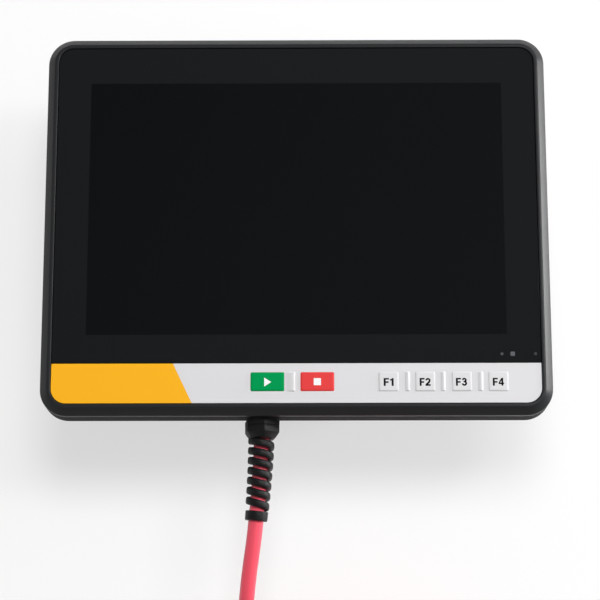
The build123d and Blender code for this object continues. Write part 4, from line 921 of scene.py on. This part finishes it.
def makeRearShell(s):
    # below the shoulder: inset = (shoulder - z) * tan(taper)
    # the profile goes up outside, over the rim and down inside at one wall's depth
    slope = math.tan(math.radians(s["taper"]))
    inset = (s["shoulder"] - s["back"]) * slope
    inner = s["wall"] + (s["shoulder"] - s["floor"]) * slope
    corners = [(s["ringInset"], s["back"]), (inset, s["back"]), (0, s["shoulder"]), (0, s["parting"]),
               (s["wall"], s["parting"]), (s["wall"], s["shoulder"]), (inner, s["floor"]),
               (s["ringInset"] + 1, s["floor"])]
    profile = softProfile(corners, [0, s["edge"], s["shoulderEdge"], 0.15, 0, 0, 0, 0], 5)
    loops = [liftLoop(boxLoop(s["w"] - 2 * d, s["h"] - 2 * d, max(s["r"] - d, s["leastR"]), count=13), z)
             for d, z in profile]
    look = "housing_plastic"
    holes = [boxLoop(2 * s["screwR"], 2 * s["screwR"], s["screwR"] * 0.999, x, y, 7) for x, y in s["screws"]]
    holes.append(boxLoop(*s["opening"]))
    parts = [gridPiece("sides", np.array(loops), look, closeV=True)]
    for hole in holes:
        ends = np.array([liftLoop(hole, s["back"]), liftLoop(hole, s["floor"])])
        parts.append(gridPiece("hole", ends, look, closeV=True))
    parts.append(fillFlat([loops[0][:, :2]] + holes, s["back"], look))
    parts.append(fillFlat([loops[-1][:, :2]] + holes, s["floor"], look))
    shell = joinPieces("rear_housing_shell", parts)
    turnOut(shell.data)
    posts = [(x, y, s["postR"], s["bore"], s["postTop"]) for x, y in s["screws"]]
    posts += [(x, y, s["bossR"], s["bore"], s["bossTop"]) for x, y in s["bosses"]]
    posts += [(x, y, s["bracketR"], s["bore"] + 0.5, s["bracketTop"]) for x, y in s["bracketPosts"]]
    parts = [shell]
    for x, y, outer, bore, top in posts:
        low = s["floor"] - 0.1
        profile = np.array([(low, bore), (low, outer), (top, outer), (top, bore), (low, bore)])
        parts.append(turnedPiece("post", profile, (x, y, 0), (0, 0, 1), (1, 0, 0), look, count=32))
    profile = np.array([(0.02, 0.0), (0.02, s["glandR"] - 0.2), (0.22, s["glandR"]),
                        (s["glandT"], s["glandR"]), (s["glandT"], 0.0)])
    parts.append(turnedPiece("boss", profile, s["gland"], (0, 1, 0), (1, 0, 0), look, count=64))
    shell = joinPieces("rear_housing_shell", parts)
    shell.data.shade_smooth()
    shell.data.set_sharp_from_angle(angle=math.radians(20.0))
    settle(shell, "root", "housing_plastic", "rear_housing")


makeRearShell(housing)

dressed = {  # CAD node: radius of its eased edges in mm
    "hump_cover": 0.6, "strap_bracket_top": 0.8, "strap_bracket_bottom": 0.8, "rubber_feet": 0.4,
    "housing_screws": 0.15, "hump_screws": 0.15, "bracket_screws": 0.15, "estop_collar": 0.3,
}
for dressedName, dressedWidth in dressed.items():
    dressedCopy(dressedName, dressedWidth)

enable = {
    "z": 45.0, "len": 60.0, "h": 9.4, "flange": 2.0, "flangeT": 1.5, "inner": 47.3, "outer": 58.0,
    "crown": 2.5, "ribs": 11, "ribPitch": 3.6, "ribW": 1.5, "ribH": 0.45, "ribLen": 6.4,
}


def makeEnableButtons(b):
    # slot outline carried outwards with a crowned edge; ribs across its face are low half-round bars
    for name, side in (("enable_button_right", 1), ("enable_button_left", -1)):
        crown = [(b["crown"] * (1 - math.cos(a)), b["outer"] - b["crown"] + b["crown"] * math.sin(a))
                 for a in np.linspace(0, math.pi / 2, 9)]
        profile = [(-b["flange"], b["inner"] - b["flangeT"]), (-b["flange"], b["inner"]), (0, b["inner"])]
        profile += crown + [(b["crown"] + 1.2, b["outer"])]
        loops = []
        for inset, x in profile:
            loop = boxLoop(b["len"] - 2 * inset, b["h"] - 2 * inset, b["h"] / 2 - inset, 0, b["z"], 12)
            loops.append(np.column_stack([np.full(len(loop), side * x), loop]))
        parts = [gridPiece("button", np.array(loops), "enable_grey", closeV=True, capStart=True,
                           capEnd=True, sharp=40.0)]
        for number in range(b["ribs"]):
            y = (number - (b["ribs"] - 1) / 2) * b["ribPitch"]
            u, v = np.meshgrid(np.linspace(-1, 1, 9), np.linspace(-1, 1, 13), indexing="ij")
            height = np.sqrt(np.clip(1 - u ** 2, 0, 1)) * smoothStep((1 - np.abs(v)) * 5)
            rib = np.stack([side * (b["outer"] - 0.02 + b["ribH"] * height), y + u * b["ribW"] / 2,
                            b["z"] + v * b["ribLen"] / 2], axis=-1)
            parts.append(gridPiece("rib", rib, "enable_grey"))
        settle(joinPieces(name + "_cap", parts), name, "enable_grey", name)


makeEnableButtons(enable)

stop = {
    "x": 88.0, "y": 50.0, "back": 52.0, "start": 7.3, "neckT": 8.0, "headT": 12.0, "neckR": 9.0, "flare": 1.0,
    "headR": 15.0, "crown": 2.4, "edge": 2.5, "stemR": 6.05, "stemOut": 15.35, "grips": 12, "gripDeep": 0.035,
}


def makeStopHead(s):
    # mushroom turned about its axis; on its rim the radius falls by gripDeep * cos(grips a / 2) ** 6
    neck = s["start"] + s["neckT"]
    end = neck + s["headT"]
    crown = [(end - s["crown"] * (r / (s["headR"] - s["edge"])) ** 2 * 0.55, r)
             for r in np.linspace(0.0, s["headR"] - s["edge"], 10)][::-1]
    corners = [(neck, s["headR"] - 2.0), (neck + 0.3, s["headR"]), (end - s["crown"], s["headR"]), crown[0]]
    rim = softProfile(corners, [0.0, 0.25, s["edge"] * 0.8, 0.0], 6)
    profile = [(s["stemOut"], 0.0), (s["stemOut"], s["stemR"]), (s["start"], s["stemR"]),
               (s["start"], s["neckR"]), (s["start"] + s["neckT"] * 0.75, s["neckR"] + s["flare"]),
               (neck, s["headR"] - 2.0)]
    profile = np.concatenate([profile, rim[1:-1], crown])
    rimRows = (profile[:, 0] > neck + 0.2) & (profile[:, 1] > s["headR"] - 0.6)

    def grips(row, angle):
        return 1 - s["gripDeep"] * rimRows[row] * np.abs(np.cos(angle * s["grips"] / 2)) ** 6

    head = turnedPiece("estop_head_cap", profile, (s["x"], s["y"], s["back"]), (0, 0, -1), (1, 0, 0),
                       "stop_red", count=144, sharp=38.0, wave=grips)
    settle(head, "estop_head", "stop_red", "estop_head")


makeStopHead(stop)

strap = {
    "w": 62.0, "t": 2.2, "pinY": 75.3, "pinZ": 10.0, "loopR": 2.85, "low": 5.0, "returnY": 52.8,
    "landY": 60.5, "stitch": 2.6, "stitchR": 0.28, "stitchGap": 1.3, "rows": (53.9, 57.6), "sides": 4.2,
}


def strapPath(s):
    # (y, z) of the band's middle: from one return's end round its pin, along the bottom, round the other pin
    mid = s["low"] + s["t"] / 2
    lay = mid + s["t"]
    r = s["loopR"] + s["t"] / 2
    top = s["pinZ"] + r
    t = np.linspace(0, 1, 15)[:, None]
    a, b = np.array([s["landY"], lay]), np.array([s["pinY"], top])
    pull = np.array([(b[0] - a[0]) * 0.45, 0.0])
    rise = ((1 - t) ** 3 * a + 3 * t * (1 - t) ** 2 * (a + pull)
            + 3 * t ** 2 * (1 - t) * (b - pull) + t ** 3 * b)
    turn = np.radians(np.linspace(90, -90, 19))[1:]
    loop = np.stack([s["pinY"] + r * np.cos(turn), s["pinZ"] + r * np.sin(turn)], axis=-1)
    half = np.concatenate([[(s["returnY"], lay), ((s["returnY"] + s["landY"]) / 2, lay)], rise, loop])
    flat = np.stack([np.linspace(s["pinY"], 0, 30)[1:], np.full(29, mid)], axis=-1)
    half = np.concatenate([half, flat])
    return np.concatenate([half, (half * (-1, 1))[::-1][1:]])


def makeStrap(s):
    # eased flat section carried along the path; UV = (way round the section, way along the path)
    path = strapPath(s)
    way = np.gradient(path, axis=0)
    way /= np.linalg.norm(way, axis=1)[:, None]
    normal = np.stack([-way[:, 1], way[:, 0]], axis=-1)
    section = boxLoop(s["w"], s["t"] - 0.06, 0.9, count=6)
    section = np.concatenate([section, section[:1]])
    points = np.empty((len(path), len(section), 3))
    points[..., 0] = section[None, :, 0]
    points[..., 1] = path[:, None, 0] + section[None, :, 1] * normal[:, None, 0]
    points[..., 2] = path[:, None, 1] + section[None, :, 1] * normal[:, None, 1]
    length = np.concatenate([[0], np.cumsum(np.linalg.norm(np.diff(path, axis=0), axis=1))])
    girth = np.concatenate([[0], np.cumsum(np.linalg.norm(np.diff(section, axis=0), axis=1))])
    cloth = np.stack(np.meshgrid(girth, length), axis=-1)
    band = gridPiece("band", points, "strap_webbing", capStart=True, capEnd=True, sharp=50.0, cloth=cloth)
    # stitches: small half-sunk beads in two rows across each return, above and below
    reach = s["w"] / 2 - s["sides"]
    places = np.arange(-reach, reach + 0.1, s["stitch"] + s["stitchGap"])
    spots = [(x, side * y, z) for z in (s["low"] + 2 * s["t"] + 0.02, s["low"] - 0.02)
             for y in s["rows"] for x in places for side in (-1, 1)]
    a, b = np.meshgrid(np.linspace(-1, 1, 5), np.linspace(0, 2 * math.pi, 7)[:-1], indexing="ij")
    bead = np.stack([a * s["stitch"] / 2, np.sqrt(1 - (a * 0.97) ** 2) * np.cos(b) * s["stitchR"] * 1.4,
                     np.sqrt(1 - (a * 0.97) ** 2) * np.sin(b) * s["stitchR"]], axis=-1)
    parts = [band]
    for spot in spots:
        parts.append(gridPiece("stitch", bead + spot, "thread_grey", closeV=True, capStart=True, capEnd=True))
    piece = settle(joinPieces("hand_strap_band", parts), "root", "strap_webbing", "hand_strap")


makeStrap(strap)

pad = {
    "w": 63.0, "h": 101.0, "r": 13.0, "low": 8.0, "high": 13.6, "voxel": 1.8, "pressure": 4.0, "cap": 1.6,
    "frames": 20, "floor": 7.5, "top": 14.6, "reachX": 33.2, "reachY": 52.2, "channels": (-17.0, 17.0),
    "channelW": 2.6, "channelD": 1.6,
}


def swellPad(piece, p):
    # cloth under pressure, each point held to a cap on how far it moves
    before = readPoints(piece.data)
    modifier = piece.modifiers.new("swell", "CLOTH")
    modifier.settings.use_pressure = True
    modifier.settings.uniform_pressure_force = p["pressure"]
    modifier.settings.effector_weights.gravity = 0.0
    modifier.settings.quality = 5
    scene = bpy.context.scene
    for number in range(1, p["frames"] + 1):
        scene.frame_set(number)
    move = readPoints(evaluatedMesh(piece)) - before
    piece.modifiers.remove(modifier)
    scene.frame_set(1)
    size = np.linalg.norm(move, axis=1)[:, None]
    after = before + move * np.minimum(1.0, p["cap"] * mm / np.maximum(size, 1e-9))
    piece.data.vertices.foreach_set("co", after.ravel())


def makePad(p):
    # pillow: eased block remeshed and swollen, then sewn channels, and kept within its stated reach
    loops = []
    corners = [(0, p["low"]), (0, p["high"]), (8.0, p["high"]), (8.0, p["low"])]
    for inset, z in softProfile(corners, [1.8, 1.8, 0, 0], 4):
        loop = boxLoop(p["w"] - 2 * inset, p["h"] - 2 * inset, p["r"] - min(inset, 6.0), count=8)
        loops.append(liftLoop(loop, z))
    block = gridPiece("strap_pad_cushion", np.array(loops), "pad_fabric", closeV=True)
    with editing(block.data) as work:
        bmesh.ops.holes_fill(work, edges=[edge for edge in work.edges if edge.is_boundary], sides=0)
        bmesh.ops.recalc_face_normals(work, faces=work.faces)
    remesh = block.modifiers.new("even", "REMESH")
    remesh.mode = "VOXEL"
    remesh.voxel_size = p["voxel"] * mm
    even = evaluatedMesh(block)
    block.modifiers.remove(remesh)
    block.data = even
    swellPad(block, p)
    points = readPoints(block.data) / mm
    # channels: the upper side sinks by channelD * exp(-((y - line) / channelW) ** 2)
    dip = sum(np.exp(-((points[:, 1] - line) / p["channelW"]) ** 2) for line in p["channels"])
    upper = np.clip((points[:, 2] - p["low"]) / (p["high"] - p["low"]), 0, 1)
    points[:, 2] -= p["channelD"] * dip * upper
    points[:, 2] = np.clip(points[:, 2], p["floor"], p["top"])
    points[:, 0] = np.clip(points[:, 0], -p["reachX"], p["reachX"])
    points[:, 1] = np.clip(points[:, 1], -p["reachY"], p["reachY"])
    block.data.vertices.foreach_set("co", (points * mm).ravel())
    lift = (points[:, 2:] - p["low"]) * 0.7
    addCloth(block.data, points[:, :2] + np.sign(points[:, :2]) * lift)
    block.data.materials.clear()
    block.data.materials.append(materials["pad_fabric"])
    block.data.shade_smooth()
    smooth = block.modifiers.new("smooth", "SUBSURF")
    smooth.levels = smooth.render_levels = 1
    settle(block, "root", "pad_fabric", "strap_pad")


makePad(pad)
print("back: housing, hump, buttons, stop, strap, pad")

ties = {
    "x": 30.4, "y": -272.0, "mid": 48.0, "halfR": 18.4, "halfZ": 18.4, "z": 18.4, "r": 5.8, "w": 10.0,
    "t": 1.2, "angles": (35.0, 215.0), "tab": 17.0, "tabT": 0.9, "tabDip": 0.35,
}


def makeTies(b):
    # a flat band round the bundle's section, with a second layer on its outer top where it closes
    parts = []
    up = np.array([0.0, 0.0, 1.0])
    edge = softProfile([(-0.5, -0.5), (0.5, -0.5), (0.5, 0.5), (-0.5, 0.5)], [0.04] * 4, 2)
    wide, deep = edge[None, :, :1], edge[None, :, 1:]
    for angle in b["angles"]:
        a = math.radians(angle)
        out = np.array([math.cos(a), math.sin(a), 0.0])
        cross = np.array([-math.sin(a), math.cos(a), 0.0])
        middle = np.array([b["x"], b["y"], b["z"]]) + b["mid"] * out
        loop = boxLoop(2 * b["halfR"] - b["t"], 2 * b["halfZ"] - b["t"], b["r"] - b["t"] / 2, count=9)
        normal = boxLoop(2 * b["halfR"], 2 * b["halfZ"], b["r"], count=9) - loop
        normal /= np.linalg.norm(normal, axis=1)[:, None]
        points = (middle + (loop[:, None, :1] + deep * b["t"] * normal[:, None, :1]) * out
                  + (loop[:, None, 1:] + deep * b["t"] * normal[:, None, 1:]) * up + wide * b["w"] * cross)
        parts.append(gridPiece("band", points, "tie_black", closeU=True, closeV=True, sharp=40.0))
        x = np.linspace(-b["tab"], 0, 9) + b["halfR"] - b["r"] - 0.5
        high = np.full(9, b["halfZ"] + b["tabT"] / 2 - 0.05)
        high[0] -= b["tabDip"]
        tab = (middle + x[:, None, None] * out + (high[:, None, None] + deep * b["tabT"]) * up
               + wide * (b["w"] - 0.8) * cross)
        parts.append(gridPiece("tab", tab, "tie_black", closeV=True, capStart=True, capEnd=True, sharp=40.0))
    return settle(joinPieces("coil_tie_bands", parts), "root", "tie_black", "coil_ties")


tiePiece = makeTies(ties)

plug = {
    "x": 108.0, "y": -333.0, "z": 13.2, "coneStart": 6.0, "coneEnd": 20.0, "coneR": 5.4, "r": 10.5,
    "gripEnd": 36.0, "bore": 4.05, "grooves": 4, "grooveW": 1.2, "grooveD": 0.6, "neckR": 9.0,
    "ringStart": 39.3, "ringEnd": 54.3, "ringR": 13.0, "ringWall": 2.2, "ringWeb": 6.0, "ringGrooves": 20,
    "ringDeep": 0.085,
}


def makePlug(p):
    # turned about its own axis; on the ring the radius falls by ringDeep * |cos(grooves a / 2)| ** 8
    origin, axis, side = (p["x"], p["y"], p["z"]), (1, 0, 0), (0, 0, 1)
    corners = [(0, p["bore"]), (0, p["coneR"]), (p["coneStart"], p["coneR"]), (p["coneEnd"], p["r"])]
    soft = [0.3, 0.6, 1.5, 1.5]
    pitch = (p["gripEnd"] - p["coneEnd"]) / (p["grooves"] + 1)
    for number in range(p["grooves"]):
        at = p["coneEnd"] + (number + 1) * pitch
        end, deep = at + p["grooveW"], p["r"] - p["grooveD"]
        corners += [(at, p["r"]), (at + 0.15, deep), (end - 0.15, deep), (end, p["r"])]
        soft += [0.15, 0.12, 0.12, 0.15]
    corners += [(p["gripEnd"], p["r"]), (p["gripEnd"], p["bore"])]
    soft += [0.3, 0.1]
    shell = turnedPiece("plug_grip", softProfile(corners, soft), origin, axis, side, "gland_nylon", count=72)
    settle(shell, "root", "gland_nylon", "plug_backshell")
    start, web = p["ringStart"], p["ringStart"] + p["ringWeb"]
    bore, neck = p["ringR"] - p["ringWall"], p["neckR"] + 0.05
    corners = [(start, neck), (start, p["ringR"]), (p["ringEnd"], p["ringR"]), (p["ringEnd"], bore),
               (web, bore),
               (web, neck)]
    profile = softProfile(corners, [0.2, 0.9, 0.7, 0.3, 0.1, 0.1], 5)
    profile = np.concatenate([profile, profile[:1]])
    along, radius = profile.T
    outer = (radius > p["ringR"] - 0.5) & (along > start + 1.2) & (along < p["ringEnd"] - 0.6)

    def grooves(row, angle):
        return 1 - p["ringDeep"] * outer[row] * np.abs(np.cos(angle * p["ringGrooves"] / 2)) ** 8

    ring = turnedPiece("coupling_ring_grip", profile, origin, axis, side, "plug_metal", count=240,
                       wave=grooves)
    settle(ring, "plug_coupling_ring", "plug_metal", "plug_coupling_ring")


makePlug(plug)
print("cord end: ties, plug")
